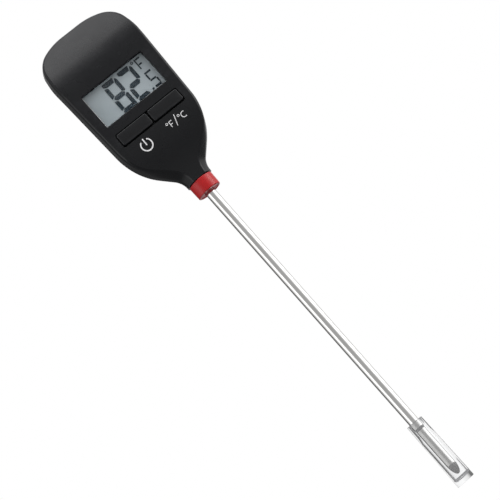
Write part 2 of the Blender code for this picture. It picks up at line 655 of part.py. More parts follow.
def make_case_screws(metal):
    """Four self-tapping screws, put in from the back."""
    head_top = SCREW_HEAD_Y + SCREW_HEAD_HEIGHT
    profile = ((0.0, SCREW_END_Y), (SCREW_SHANK_RADIUS * 0.5, SCREW_END_Y + 0.5 * MM),
               (SCREW_SHANK_RADIUS, SCREW_END_Y + 1.2 * MM), (SCREW_SHANK_RADIUS, SCREW_HEAD_Y),
               (SCREW_HEAD_RADIUS, SCREW_HEAD_Y), (SCREW_HEAD_RADIUS, head_top - 0.4 * MM),
               (SCREW_HEAD_RADIUS * 0.75, head_top), (0.0, head_top))
    reach = 1.1 * MM
    for label, x, z in SCREWS:
        screw = turned("case_screw_" + label, profile, metal, (x, 0.0, z), backward=True, steps=16)
        for bar, (wide, tall) in (("a", (reach, SCREW_SLOT / 2.0)), ("b", (SCREW_SLOT / 2.0, reach))):
            cut = block("screw_slot_" + bar + "_" + label, (x - wide, head_top - 0.6 * MM, z - tall),
                        (x + wide, head_top + 1.0 * MM, z + tall))
            combine(screw, as_tool(cut))


def make_neck(collar, metal, rubber):
    """Collar, the ring crimped on the stem, and the seal under the shells."""
    lip = 0.25 * MM
    recess_radius = 3.7 * MM
    recess_depth = 0.4 * MM
    profile = ((NECK_BORE, recess_depth), (recess_radius, recess_depth), (recess_radius + lip, 0.0),
               (COLLAR_RADIUS_BASE - lip, 0.0), (COLLAR_RADIUS_BASE, lip), (COLLAR_RADIUS_TOP, COLLAR_HEIGHT),
               (SPIGOT_RADIUS + GAP, COLLAR_HEIGHT), (SPIGOT_RADIUS + GAP, COLLAR_FLOOR), (NECK_BORE, COLLAR_FLOOR))
    turned("neck_collar", profile, collar, steps=48)
    base = CAVITY_FLOOR + GAP
    turned("stem_flange", ring(NECK_BORE, FLANGE_RADIUS, base, base + FLANGE_HEIGHT), metal)
    section = []
    for step in range(10):
        angle = math.tau * step / 10
        section.append((SEAL_MAJOR + SEAL_MINOR * math.cos(angle), SEAL_Z + SEAL_MINOR * math.sin(angle)))
    turned("stem_seal", section, rubber)


def dome_points(radius, base, tip, steps=5):
    """Quarter ellipse from a radius at a base height to the axis at the tip."""
    points = []
    for step in range(1, steps + 1):
        angle = math.radians(90.0 * step / steps)
        points.append((radius * math.cos(angle), base + (tip - base) * math.sin(angle)))
    points[-1] = (0.0, tip)
    return points


def make_stem(steel):
    """Stainless tube, closed and rounded at its narrower tip, open at the top."""
    shoulder = 1.0 * MM
    bore_end = TIP_DOME_Z + 0.5 * MM
    outside = [(STEM_RADIUS, STEM_TOP), (STEM_RADIUS, TIP_STEP_Z), (TIP_RADIUS, TIP_STEP_Z - shoulder),
               (TIP_RADIUS, TIP_DOME_Z)] + dome_points(TIP_RADIUS, TIP_DOME_Z, TIP_Z)
    inside = [(STEM_BORE, STEM_TOP), (STEM_BORE, TIP_STEP_Z + 1.2 * MM), (TIP_BORE, TIP_STEP_Z + 0.2 * MM),
              (TIP_BORE, bore_end), (0.0, bore_end - 0.6 * MM)]
    bm = bmesh.new()
    chain = list(reversed(inside)) + outside
    verts = [bm.verts.new((radius, 0.0, height)) for radius, height in chain]
    edges = [bm.edges.new(pair) for pair in zip(verts, verts[1:])]
    bmesh.ops.spin(bm, geom=verts + edges, cent=(0.0, 0.0, 0.0), axis=(0.0, 0.0, 1.0),
                   angle=math.tau, steps=TURN_STEPS)
    bmesh.ops.remove_doubles(bm, verts=bm.verts, dist=0.002 * MM)
    add_object("stem_tube", bm, steel)


def make_sensor(glass, copper, tube):
    """Thermistor bead, its two leads and the tube that insulates them."""
    half = BEAD_LENGTH / 2.0
    upper = dome_points(BEAD_RADIUS, 0.0, half, 4)
    lower = [(radius, -height) for radius, height in reversed(upper)]
    turned("thermistor_bead", lower + [(BEAD_RADIUS, 0.0)] + upper, glass, (0.0, 0.0, BEAD_Z), steps=16)
    for label, side in (("left", -1.0), ("right", 1.0)):
        route = ((LEAD_X, 0.0, LEAD_LOW_Z), (LEAD_X, 0.0, -60.0 * MM), (LEAD_X, 0.0, 11.0 * MM),
                 (0.5 * MM, -0.05 * MM, 12.5 * MM), (0.7 * MM, -0.3 * MM, 14.0 * MM),
                 (1.1 * MM, -0.8 * MM, 15.6 * MM), (1.6 * MM, -1.3 * MM, 17.2 * MM),
                 (1.9 * MM, -1.55 * MM, 19.0 * MM), (2.0 * MM, -1.6 * MM, 21.0 * MM))
        curve = bpy.data.curves.new("sensor_lead_" + label, 'CURVE')
        curve.dimensions = '3D'
        curve.bevel_depth = LEAD_RADIUS
        curve.bevel_resolution = 2
        curve.use_fill_caps = True
        spline = curve.splines.new('POLY')
        spline.points.add(len(route) - 1)
        for point, (x, y, z) in zip(spline.points, route):
            point.co = (side * x, y, z, 1.0)
        lead = bpy.data.objects.new("sensor_lead_" + label, curve)
        bpy.context.scene.collection.objects.link(lead)
        lead.data.materials.append(copper)
    turned("lead_insulator", ring(INSULATOR_BORE, INSULATOR_RADIUS, INSULATOR_LOW_Z, INSULATOR_TOP_Z), tube, steps=16)


def make_sleeve(clear):
    """Clear plastic sleeve that slides off the tip."""
    grip_end = SLEEVE_MOUTH_Z - SLEEVE_GRIP_LENGTH
    floor = SLEEVE_END_Z + SLEEVE_FLOOR
    inside = [(0.0, floor), (SLEEVE_BORE, floor), (SLEEVE_BORE, grip_end - 0.6 * MM), (NECK_BORE, grip_end),
              (NECK_BORE, SLEEVE_MOUTH_Z)]
    outside = [(SLEEVE_MOUTH_RADIUS, SLEEVE_MOUTH_Z), (SLEEVE_END_RADIUS, SLEEVE_END_Z), (0.0, SLEEVE_END_Z)]
    points = [(radius, height - SLEEVE_MOUTH_Z) for radius, height in inside + outside]
    turned("tip_sleeve", points, clear, (0.0, 0.0, SLEEVE_MOUTH_Z))


def main():
    """Build every piece of the probe."""
    clear_scene()
    black = finish("shell_plastic", (0.016, 0.017, 0.019), 0.38)
    keycap = finish("key_plastic", (0.02, 0.021, 0.023), 0.35)
    clear = finish("clear_plastic", (0.9, 0.92, 0.93), 0.05, alpha=0.3)
    glass = finish("display_glass", (0.36, 0.4, 0.42), 0.08, alpha=0.5)
    film = finish("reflector_film", (0.28, 0.32, 0.34), 0.4)
    frame = finish("frame_plastic", (0.75, 0.75, 0.72), 0.5)
    rubber = finish("rubber", (0.03, 0.03, 0.03), 0.8)
    board = finish("board_laminate", (0.02, 0.14, 0.05), 0.45)
    resin = finish("resin", (0.01, 0.01, 0.01), 0.3)
    steel = finish("stainless_steel", (0.72, 0.72, 0.72), 0.15, 1.0)
    nickel = finish("nickel", (0.6, 0.58, 0.54), 0.25, 1.0)
    copper = finish("lead_insulation", (0.5, 0.05, 0.04), 0.45)
    red = finish("collar_plastic", (0.45, 0.01, 0.012), 0.4)
    bead_glass = finish("bead_glass", (0.05, 0.03, 0.02), 0.2)
    white_tube = finish("tube_plastic", (0.8, 0.8, 0.78), 0.4)

    make_front_shell(black)
    make_rear_shell(black)
    make_display(clear, glass, film, frame, rubber)
    make_board(board, resin)
    make_key("power_button", -1.0, keycap, resin, frame)
    make_key("unit_button", 1.0, keycap, resin, frame)
    make_battery(nickel, frame, nickel)
    make_battery_cover(black, rubber)
    make_case_screws(nickel)
    make_neck(red, nickel, rubber)
    make_stem(steel)
    make_sensor(bead_glass, copper, white_tube)
    make_sleeve(clear)


main()
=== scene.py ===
"""Looks of a digital soil thermometer probe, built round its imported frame.

The head is a two-part black housing with a display, two keys and a battery door in its back. Below it come a
red collar, a polished steel stem and a clear sleeve over the tip. Metres, +Z up, the display faces -Y.
"""
from __future__ import annotations

import logging
import math
from collections.abc import Callable, Iterable, Sequence
from dataclasses import dataclass
from enum import Enum
from typing import ClassVar, Protocol

import bmesh
import bpy
from mathutils import Matrix, Vector


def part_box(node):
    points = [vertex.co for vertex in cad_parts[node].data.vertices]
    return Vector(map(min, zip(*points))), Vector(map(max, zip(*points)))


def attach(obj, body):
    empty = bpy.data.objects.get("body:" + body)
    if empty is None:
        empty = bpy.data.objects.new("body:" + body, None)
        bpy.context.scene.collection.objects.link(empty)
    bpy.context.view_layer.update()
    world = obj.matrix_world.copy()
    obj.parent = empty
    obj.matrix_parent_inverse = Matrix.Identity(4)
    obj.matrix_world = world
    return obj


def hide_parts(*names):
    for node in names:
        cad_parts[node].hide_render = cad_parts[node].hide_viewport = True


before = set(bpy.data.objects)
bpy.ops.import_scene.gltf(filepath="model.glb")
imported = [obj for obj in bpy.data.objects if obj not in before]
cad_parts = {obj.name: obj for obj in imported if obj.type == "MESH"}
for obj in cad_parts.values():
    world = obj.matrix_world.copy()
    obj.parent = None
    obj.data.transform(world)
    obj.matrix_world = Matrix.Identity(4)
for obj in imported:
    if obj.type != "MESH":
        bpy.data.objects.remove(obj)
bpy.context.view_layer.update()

LOG = logging.getLogger("soil_thermometer")
MM = 0.001
GAP = 0.3 * MM
# how far a cutter goes on past the surface that it cuts
OVERRUN = 1.0 * MM

Colour = tuple[float, float, float]
Point = tuple[float, float, float]
Profile = list[tuple[float, float]]
Corner = tuple[float, float, float]
Bar = tuple[float, float, float, float]
Value = float | Sequence[float] | bpy.types.NodeSocket


# ---------------------------------------------------------------- nodes and shared surface effects

class NodeSketch:
    """Adds and links the nodes of one tree."""

    # sockets of a Mix node that mixes colours
    FIRST_COLOUR, SECOND_COLOUR, MIXED_COLOUR = 6, 7, 2

    def __init__(self, tree: bpy.types.NodeTree) -> None:
        """Take the tree that the nodes go into."""
        self.tree = tree

    def add(self, kind: str, **settings: object) -> bpy.types.Node:
        """Add a node and set its properties.

        Args:
            kind: the node's type name, without its ShaderNode prefix.
            settings: properties of the node, by name.

        Returns:
            The new node.
        """
        node = self.tree.nodes.new("ShaderNode" + kind)
        for name, value in settings.items():
            setattr(node, name, value)
        return node

    def feed(self, socket: bpy.types.NodeSocket, value: Value) -> None:
        """Link a socket to another one, or set its plain value.

        Args:
            socket: the socket that is fed.
            value: the socket it is linked to, or its value.
        """
        if isinstance(value, bpy.types.NodeSocket):
            self.tree.links.new(value, socket)
        else:
            socket.default_value = value

    def math(self, operation: str, first: Value, second: Value = 0.0,
             clamp: bool = False) -> bpy.types.NodeSocket:
        """Add a Math node.

        Args:
            operation: what it works out.
            first: its first value.
            second: its second value.
            clamp: whether the result is held between 0 and 1.

        Returns:
            The result's socket.
        """
        node = self.add("Math", operation=operation, use_clamp=clamp)
        self.feed(node.inputs[0], first)
        self.feed(node.inputs[1], second)
        return node.outputs[0]

    def remap(self, value: Value, low: float, high: float, to_low: float,
              to_high: float) -> bpy.types.NodeSocket:
        """Move a value from one range to another, held inside it.

        Args:
            value: the value.
            low: the low end of its range.
            high: the high end of its range.
            to_low: what the low end becomes.
            to_high: what the high end becomes.

        Returns:
            The moved value's socket.
        """
        node = self.add("MapRange", clamp=True)
        for socket, given in zip(node.inputs, (value, low, high, to_low, to_high)):
            self.feed(socket, given)
        return node.outputs[0]

    def blend(self, factor: Value, first: Value, second: Value) -> bpy.types.NodeSocket:
        """Mix two colours.

        Args:
            factor: the second colour's share.
            first: the first colour.
            second: the second colour.

        Returns:
            The mixed colour's socket.
        """
        node = self.add("Mix", data_type='RGBA')
        self.feed(node.inputs[0], factor)
        self.feed(node.inputs[self.FIRST_COLOUR], first)
        self.feed(node.inputs[self.SECOND_COLOUR], second)
        return node.outputs[self.MIXED_COLOUR]

    def noise(self, vector: Value, scale: Value, detail: float = 2.0) -> bpy.types.NodeSocket:
        """Add a noise texture.

        Args:
            vector: the vector that it is read over.
            scale: its scale.
            detail: how much finer detail it has.

        Returns:
            The noise value's socket.
        """
        node = self.add("TexNoise")
        self.feed(node.inputs["Vector"], vector)
        self.feed(node.inputs["Scale"], scale)
        node.inputs["Detail"].default_value = detail
        return node.outputs[0]

    def split(self, vector: Value) -> bpy.types.Node:
        """Add a node that splits a vector into X, Y and Z.

        Args:
            vector: the vector.

        Returns:
            The node.
        """
        node = self.add("SeparateXYZ")
        self.feed(node.inputs[0], vector)
        return node

    def object_place(self) -> bpy.types.NodeSocket:
        """Return the place on the object, in its own coordinates."""
        return self.add("TexCoord").outputs["Object"]

    def bump(self, height: Value, distance: float, shader: bpy.types.Node) -> None:
        """Raise a shader's surface by a height value.

        Args:
            height: the height.
            distance: how far a height of 1 rises.
            shader: the shader.
        """
        node = self.add("Bump")
        node.inputs["Distance"].default_value = distance
        self.feed(node.inputs["Height"], height)
        self.feed(shader.inputs["Normal"], node.outputs["Normal"])

    def sort_rays(self, ray: str, others: bpy.types.Node, picked: bpy.types.Node, output: str) -> None:
        """Show one shader to one kind of ray and another shader to all others.

        Args:
            ray: the Light Path output that names the kind of ray.
            others: the shader for all other rays.
            picked: the shader for that kind.
            output: the name of the tree's output node.
        """
        choice = self.add("MixShader")
        self.feed(choice.inputs[0], self.add("LightPath").outputs[ray])
        self.feed(choice.inputs[1], others.outputs[0])
        self.feed(choice.inputs[2], picked.outputs[0])
        self.feed(self.tree.nodes[output].inputs["Surface"], choice.outputs[0])


class Effect(Enum):
    """The surface effects that several finishes share."""

    EDGE_WEAR = "edge_wear"
    MOULD_GRAIN = "mould_grain"
    HANDLING = "handling"
    LINES = "polishing_lines"


class EffectLibrary:
    """Builds each shared effect once, as a node group, and places it in materials."""

    def __init__(self) -> None:
        """Start with no group built."""
        self.groups: dict[Effect, bpy.types.NodeTree] = {}
        self.builders: dict[Effect, Callable[[], bpy.types.NodeTree]] = {
            Effect.EDGE_WEAR: self._build_edge_wear, Effect.MOULD_GRAIN: self._build_mould_grain,
            Effect.HANDLING: self._build_handling, Effect.LINES: self._build_polishing_lines}

    def place(self, sketch: NodeSketch, effect: Effect, **values: Value) -> bpy.types.Node:
        """Put an effect's group into a material.

        Args:
            sketch: the material's nodes.
            effect: which effect.
            values: values of the group's inputs, with _ for a blank in their names.

        Returns:
            The group node.
        """
        if effect not in self.groups:
            self.groups[effect] = self.builders[effect]()
        node = sketch.add("Group", node_tree=self.groups[effect])
        for name, value in values.items():
            sketch.feed(node.inputs[name.replace("_", " ")], value)
        return node

    @staticmethod
    def _open(effect: Effect, inputs: dict[str, float], outputs: Sequence[str]) -> tuple[
            NodeSketch, dict[str, bpy.types.NodeSocket], dict[str, bpy.types.NodeSocket]]:
        """Make an empty group.

        Args:
            effect: the effect that it makes.
            inputs: its float inputs with their defaults.
            outputs: its float outputs.

        Returns:
            The group's sketch, its input sockets by name and its output sockets by name.
        """
        tree = bpy.data.node_groups.new(effect.value, "ShaderNodeTree")
        for label, value in inputs.items():
            socket = tree.interface.new_socket(label, in_out='INPUT', socket_type='NodeSocketFloat')
            socket.default_value = value
        for label in outputs:
            tree.interface.new_socket(label, in_out='OUTPUT', socket_type='NodeSocketFloat')
        start = tree.nodes.new("NodeGroupInput")
        end = tree.nodes.new("NodeGroupOutput")
        return (NodeSketch(tree), {s.name: s for s in start.outputs if s.name},
                {s.name: s for s in end.inputs if s.name})

    def _build_edge_wear(self) -> bpy.types.NodeTree:
        """Build the mask of the convex edges, broken up as by handling.

        Returns:
            The group.
        """
        sketch, given, result = self._open(Effect.EDGE_WEAR, {"Strength": 0.5, "Breakup": 700.0}, ["Mask"])
        edges = sketch.remap(sketch.add("NewGeometry").outputs["Pointiness"], 0.505, 0.56, 0.0, 1.0)
        spots = sketch.noise(sketch.object_place(), given["Breakup"], 4.0)
        patches = sketch.remap(spots, 0.35, 0.65, 0.3, 1.0)
        worn = sketch.math('MULTIPLY', edges, patches)
        sketch.feed(result["Mask"], sketch.math('MULTIPLY', worn, given["Strength"], clamp=True))
        return sketch.tree

    def _build_mould_grain(self) -> bpy.types.NodeTree:
        """Build the fine grain of a moulded surface.

        Returns:
            The group.
        """
        sketch, given, result = self._open(Effect.MOULD_GRAIN, {"Scale": 4000.0}, ["Height", "Tone"])
        place = sketch.object_place()
        cells = sketch.add("TexVoronoi", feature='SMOOTH_F1')
        sketch.feed(cells.inputs["Vector"], place)
        sketch.feed(cells.inputs["Scale"], given["Scale"])
        fine = sketch.noise(place, sketch.math('MULTIPLY', given["Scale"], 1.7))
        sketch.feed(result["Height"], sketch.math('MULTIPLY', cells.outputs["Distance"], fine))
        sketch.feed(result["Tone"], fine)
        return sketch.tree

    def _build_handling(self) -> bpy.types.NodeTree:
        """Build faint smudges from hands, and dust on what faces up.

        Returns:
            The group.
        """
        sketch, given, result = self._open(Effect.HANDLING, {"Scale": 90.0}, ["Smudge", "Dust"])
        place = sketch.object_place()
        smudge = sketch.remap(sketch.noise(place, given["Scale"], 5.0), 0.35, 0.7, 0.0, 1.0)
        sketch.feed(result["Smudge"], smudge)
        facing = sketch.split(sketch.add("NewGeometry").outputs["Normal"])
        lying = sketch.remap(facing.outputs["Z"], 0.2, 1.0, 0.0, 1.0)
        specks = sketch.noise(place, sketch.math('MULTIPLY', given["Scale"], 40.0), 3.0)
        dust = sketch.math('MULTIPLY', lying, sketch.remap(specks, 0.52, 0.72, 0.0, 1.0))
        sketch.feed(result["Dust"], dust)
        return sketch.tree

    def _build_polishing_lines(self) -> bpy.types.NodeTree:
        """Build the very fine lines left by polishing, all one way.

        Returns:
            The group.
        """
        inputs = {"Round": 80.0, "Along": 5000.0}
        sketch, given, result = self._open(Effect.LINES, inputs, ["Height", "Tone"])
        parts = sketch.split(sketch.object_place())
        scaled = sketch.add("CombineXYZ")
        for axis, name in (("X", "Round"), ("Y", "Round"), ("Z", "Along")):
            sketch.feed(scaled.inputs[axis], sketch.math('MULTIPLY', parts.outputs[axis], given[name]))
        sketch.feed(result["Height"], sketch.noise(scaled.outputs[0], 1.0, 3.0))
        tone = sketch.noise(scaled.outputs[0], 0.13, 4.0)
        sketch.feed(result["Tone"], sketch.remap(tone, 0.3, 0.7, 0.0, 1.0))
        return sketch.tree


# ---------------------------------------------------------------- finishes

def open_material(name: str) -> tuple[bpy.types.Material, NodeSketch, bpy.types.Node]:
    """Make a node material.

    Args:
        name: its name.

    Returns:
        The material, its sketch and its Principled shader.
    """
    material = bpy.data.materials.new(name)
    material.use_nodes = True
    sketch = NodeSketch(material.node_tree)
    return material, sketch, material.node_tree.nodes["Principled BSDF"]


@dataclass(frozen=True)
class Finish:
    """What every finish has: a name, and a way to paint it."""

    name: str

    def paint(self, sketch: NodeSketch, shader: bpy.types.Node, effects: EffectLibrary) -> None:
        """Lay the finish's nodes in a material, round its Principled shader."""
        raise NotImplementedError

    def build(self, effects: EffectLibrary) -> bpy.types.Material:
        """Build the finish.

        Args:
            effects: the shared effects.

        Returns:
            The material.
        """
        material, sketch, shader = open_material(self.name)
        self.paint(sketch, shader, effects)
        return material


@dataclass(frozen=True)
class Moulded(Finish):
    """A moulded or cast finish: plastic, rubber, resin or ink."""

    colour: Colour
    roughness: float
    specular: float = 0.5
    worn: Colour = (0.5, 0.5, 0.5)
    wear: float = 0.0
    grain: float = 5000.0
    grain_height: float = 0.006 * MM
    smudge: float = 0.06
    dust: float = 0.0
    dust_colour: Colour = (0.3, 0.27, 0.23)
    mottle: float = 0.06

    def paint(self, sketch: NodeSketch, shader: bpy.types.Node, effects: EffectLibrary) -> None:
        """Lay a mottled colour with grain, smudges, dust and worn edges.

        Args:
            sketch: the material's nodes.
            shader: its Principled shader.
            effects: the shared effects.
        """
        grain = effects.place(sketch, Effect.MOULD_GRAIN, Scale=self.grain)
        hands = effects.place(sketch, Effect.HANDLING)
        deep = (*(c * (1.0 - self.mottle) for c in self.colour), 1.0)
        light = (*(min(1.0, c * (1.0 + self.mottle)) for c in self.colour), 1.0)
        colour = sketch.blend(grain.outputs["Tone"], deep, light)
        if self.dust:
            dusty = sketch.math('MULTIPLY', hands.outputs["Dust"], self.dust)
            colour = sketch.blend(dusty, colour, (*self.dust_colour, 1.0))
        if self.wear:
            edges = effects.place(sketch, Effect.EDGE_WEAR, Strength=self.wear)
            colour = sketch.blend(edges.outputs["Mask"], colour, (*self.worn, 1.0))
        sketch.feed(shader.inputs["Base Color"], colour)
        low = self.roughness - self.smudge
        high = self.roughness + self.smudge
        sketch.feed(shader.inputs["Roughness"], sketch.remap(hands.outputs["Smudge"], 0.0, 1.0, high, low))
        shader.inputs["Specular IOR Level"].default_value = self.specular
        sketch.bump(grain.outputs["Height"], self.grain_height, shader)


@dataclass(frozen=True)
class Metal(Finish):
    """A drawn, turned or plated metal with fine lines round its axis."""

    colour: Colour
    roughness: float
    spread: float = 0.05
    round_scale: float = 120.0
    along_scale: float = 6000.0
    line_height: float = 0.0006 * MM
    tarnish: Colour = (0.4, 0.38, 0.34)
    tarnish_share: float = 0.12

    def paint(self, sketch: NodeSketch, shader: bpy.types.Node, effects: EffectLibrary) -> None:
        """Lay bare metal with polishing lines and a little tarnish.

        Args:
            sketch: the material's nodes.
            shader: its Principled shader.
            effects: the shared effects.
        """
        lines = effects.place(sketch, Effect.LINES, Round=self.round_scale, Along=self.along_scale)
        hands = effects.place(sketch, Effect.HANDLING, Scale=60.0)
        dull = sketch.math('MULTIPLY', hands.outputs["Smudge"], self.tarnish_share)
        colour = sketch.blend(dull, (*self.colour, 1.0), (*self.tarnish, 1.0))
        sketch.feed(shader.inputs["Base Color"], colour)
        shader.inputs["Metallic"].default_value = 1.0
        rough = sketch.remap(lines.outputs["Tone"], 0.0, 1.0, self.roughness, self.roughness + self.spread)
        sketch.feed(shader.inputs["Roughness"], rough)
        sketch.bump(lines.outputs["Height"], self.line_height, shader)


@dataclass(frozen=True)
class Clear(Finish):
    """Clear plastic or glass, which lets lamps through to what it covers."""

    colour: Colour
    roughness: float
    ior: float = 1.5
    shade: Colour = (0.9, 0.9, 0.9)
    scuffs: float = 0.03

    def paint(self, sketch: NodeSketch, shader: bpy.types.Node, effects: EffectLibrary) -> None:
        """Lay a see-through surface that shadow rays pass.

        Args:
            sketch: the material's nodes.
            shader: its Principled shader.
            effects: the shared effects.
        """
        shader.inputs["Base Color"].default_value = (*self.colour, 1.0)
        shader.inputs["Transmission Weight"].default_value = 1.0
        shader.inputs["IOR"].default_value = self.ior
        hands = effects.place(sketch, Effect.HANDLING, Scale=150.0)
        scuffed = self.roughness + self.scuffs
        rough = sketch.remap(hands.outputs["Smudge"], 0.0, 1.0, self.roughness, scuffed)
        sketch.feed(shader.inputs["Roughness"], rough)
        passing = sketch.add("BsdfTransparent")
        passing.inputs["Color"].default_value = (*self.shade, 1.0)
        sketch.sort_rays("Is Shadow Ray", shader, passing, "Material Output")


@dataclass(frozen=True)
class DisplayBacking(Finish):
    """Grey backing of a liquid crystal cell, a little lighter at one side: painted light, lighter towards +X
    where the light falls.
    """

    name: str = "display_backing_and_painted_light"
    # left is the backing's painted shaded side and right its painted lit side
    left: Colour = (0.36, 0.415, 0.44)
    right: Colour = (0.46, 0.52, 0.55)
    speckle: Colour = (0.2, 0.24, 0.25)
    half_width: float = 13.0 * MM

    def paint(self, sketch: NodeSketch, shader: bpy.types.Node, effects: EffectLibrary) -> None:
        """Lay a colour that runs from a painted shaded left to a painted lit right, with a faint speckle.

        Args:
            sketch: the material's nodes.
            shader: its Principled shader.
            effects: the shared effects.
        """
        parts = sketch.split(sketch.object_place())
        across = sketch.remap(parts.outputs["X"], -self.half_width, self.half_width, 0.0, 1.0)
        # painted light: the colour grows lighter towards +X
        colour = sketch.blend(across, (*self.left, 1.0), (*self.right, 1.0))
        grain = effects.place(sketch, Effect.MOULD_GRAIN, Scale=9000.0)
        specks = sketch.remap(grain.outputs["Tone"], 0.3, 0.7, 0.0, 0.1)
        colour = sketch.blend(specks, colour, (*self.speckle, 1.0))
        sketch.feed(shader.inputs["Base Color"], colour)
        shader.inputs["Roughness"].default_value = 0.5
        shader.inputs["Specular IOR Level"].default_value = 0.2


@dataclass(frozen=True)
class Stripes(Finish):
    """Conducting and insulating layers of an elastomer strip."""

    name: str = "zebra_rubber"
    pitch: float = 0.36 * MM
    conducting: Colour = (0.012, 0.012, 0.013)
    insulating: Colour = (0.42, 0.41, 0.4)

    def paint(self, sketch: NodeSketch, shader: bpy.types.Node, effects: EffectLibrary) -> None:
        """Lay the layers side by side.

        Args:
            sketch: the material's nodes.
            shader: its Principled shader.
            effects: the shared effects.
        """
        parts = sketch.split(sketch.object_place())
        turn = sketch.math('MULTIPLY', parts.outputs["X"], math.tau / self.pitch)
        layer = sketch.remap(sketch.math('SINE', turn), -0.15, 0.15, 0.0, 1.0)
        colour = sketch.blend(layer, (*self.conducting, 1.0), (*self.insulating, 1.0))
        sketch.feed(shader.inputs["Base Color"], colour)
        grain = effects.place(sketch, Effect.MOULD_GRAIN, Scale=3000.0)
        rough = sketch.remap(grain.outputs["Tone"], 0.3, 0.7, 0.55, 0.75)
        sketch.feed(shader.inputs["Roughness"], rough)


@dataclass(frozen=True)
class Laminate(Finish):
    """Solder mask over a woven glass laminate."""

    name: str = "board_green"
    weave: float = 1800.0
    warp: Colour = (0.012, 0.11, 0.035)
    weft: Colour = (0.016, 0.14, 0.045)
    between: Colour = (0.01, 0.085, 0.03)
    flux: Colour = (0.05, 0.13, 0.05)

    def paint(self, sketch: NodeSketch, shader: bpy.types.Node, effects: EffectLibrary) -> None:
        """Lay the weave with traces of flux.

        Args:
            sketch: the material's nodes.
            shader: its Principled shader.
            effects: the shared effects.
        """
        weave = sketch.add("TexBrick")
        sketch.feed(weave.inputs["Vector"], sketch.object_place())
        for name, colour in (("Color1", self.warp), ("Color2", self.weft), ("Mortar", self.between)):
            weave.inputs[name].default_value = (*colour, 1.0)
        weave.inputs["Scale"].default_value = self.weave
        hands = effects.place(sketch, Effect.HANDLING, Scale=120.0)
        traces = sketch.math('MULTIPLY', hands.outputs["Smudge"], 0.2)
        colour = sketch.blend(traces, weave.outputs["Color"], (*self.flux, 1.0))
        sketch.feed(shader.inputs["Base Color"], colour)
        sketch.feed(shader.inputs["Roughness"], sketch.remap(hands.outputs["Smudge"], 0.0, 1.0, 0.28, 0.42))


class Finishes:
    """Every finish of the probe, built on first use."""

    HOUSING = Moulded("housing_black", (0.0062, 0.0066, 0.0077), 0.27, specular=0.26,
                      worn=(0.03, 0.031, 0.035), wear=0.35, dust=0.02)
    KEYCAP = Moulded("key_black", (0.0072, 0.0076, 0.0087), 0.36, specular=0.26,
                     worn=(0.04, 0.041, 0.045), wear=0.5, dust=0.02)
    COLLAR = Moulded("collar_red", (0.47, 0.008, 0.01), 0.33, specular=0.35, worn=(0.5, 0.03, 0.03), wear=0.2)
    RUBBER = Moulded("seal_rubber", (0.02, 0.02, 0.021), 0.75, grain_height=0.02 * MM)
    RESIN = Moulded("black_resin", (0.011, 0.011, 0.012), 0.25)
    FRAME = Moulded("frame_white", (0.7, 0.69, 0.65), 0.45)
    FILM = Moulded("reflector_grey", (0.3, 0.33, 0.34), 0.4)
    LEAD_RED = Moulded("lead_red", (0.5, 0.02, 0.02), 0.4)
    LEAD_BLACK = Moulded("lead_black", (0.02, 0.02, 0.02), 0.4)
    TUBE = Moulded("tube_white", (0.78, 0.77, 0.73), 0.35)
    BEAD = Moulded("bead_amber", (0.06, 0.03, 0.015), 0.12)
    INK = Moulded("legend_white", (0.95, 0.95, 0.95), 0.45, grain_height=0.002 * MM)
    SEGMENT = Moulded("segment_dark", (0.025, 0.038, 0.048), 0.5, specular=0.1)
    # painted highlight: near-white strip for light caught on the window's left edge
    PAINTED_EDGE_HIGHLIGHT = Moulded("painted_edge_highlight", (0.95, 0.96, 0.97), 0.3, grain_height=0.001 * MM)
    STEEL = Metal("stem_steel", (0.72, 0.715, 0.705), 0.09)
    NICKEL = Metal("nickel_plate", (0.62, 0.6, 0.56), 0.24, spread=0.12, line_height=0.002 * MM)
    LENS = Clear("window_clear", (1.0, 1.0, 1.0), 0.0, ior=1.22, shade=(0.95, 0.95, 0.95), scuffs=0.01)
    GLASS = Clear("cell_glass", (1.0, 1.0, 1.0), 0.0, ior=1.08, shade=(0.97, 0.97, 0.97), scuffs=0.0)
    SLEEVE = Clear("sleeve_clear", (0.98, 0.983, 0.986), 0.0, ior=1.25, shade=(0.92, 0.92, 0.92), scuffs=0.01)
    BACKING_AND_PAINTED_LIGHT = DisplayBacking()
    ZEBRA = Stripes()
    BOARD = Laminate()

    def __init__(self) -> None:
        """Start with no material made."""
        self.effects = EffectLibrary()
        self.made: dict[str, bpy.types.Material] = {}

    def of(self, finish: Finish) -> bpy.types.Material:
        """Find a finish's material, or build it on first use.

        Args:
            finish: the finish.

        Returns:
            The material.
        """
        if finish.name not in self.made:
            self.made[finish.name] = finish.build(self.effects)
        return self.made[finish.name]


# ---------------------------------------------------------------- shapes

def smooth_step(value: float, low: float, high: float) -> float:
    """Return 0 below low and 1 above high, with a smooth rise between them."""
    t = min(1.0, max(0.0, (value - low) / (high - low)))
    return t * t * (3.0 - 2.0 * t)


def mix(a: float, b: float, t: float) -> float:
    """Blend two values."""
    return a + (b - a) * t


def fillet(corners: Sequence[Corner], closed: bool = False, steps: int = 5) -> Profile:
    """Round the corners of a path.

    Args:
        corners: (a, b, radius) of each corner.
        closed: whether the last corner leads back to the first.
        steps: segments of each arc.

    Returns:
        The path's (a, b) points.
    """
    path: Profile = []
    count = len(corners)
    for index, (a, b, radius) in enumerate(corners):
        if radius == 0.0 or (not closed and index in (0, count - 1)):
            path.append((a, b))
            continue
        corner = Vector((a, b))
        back = Vector(corners[index - 1][:2]) - corner
        ahead = Vector(corners[(index + 1) % count][:2]) - corner
        half = back.angle(ahead) / 2.0
        cut = min(radius / math.tan(half), 0.49 * back.length, 0.49 * ahead.length)
        back.normalize()
        ahead.normalize()
        centre = corner + (back + ahead).normalized() * (cut / math.cos(half))
        start, end = corner + back * cut - centre, corner + ahead * cut - centre
        for step in range(steps + 1):
            spot = centre + start.slerp(end, step / steps) * start.length
            path.append((spot.x, spot.y))
    return path


class Axis(Enum):
    """The axis that a turned piece spins about."""

    UP = "z"
    BACK = "y"


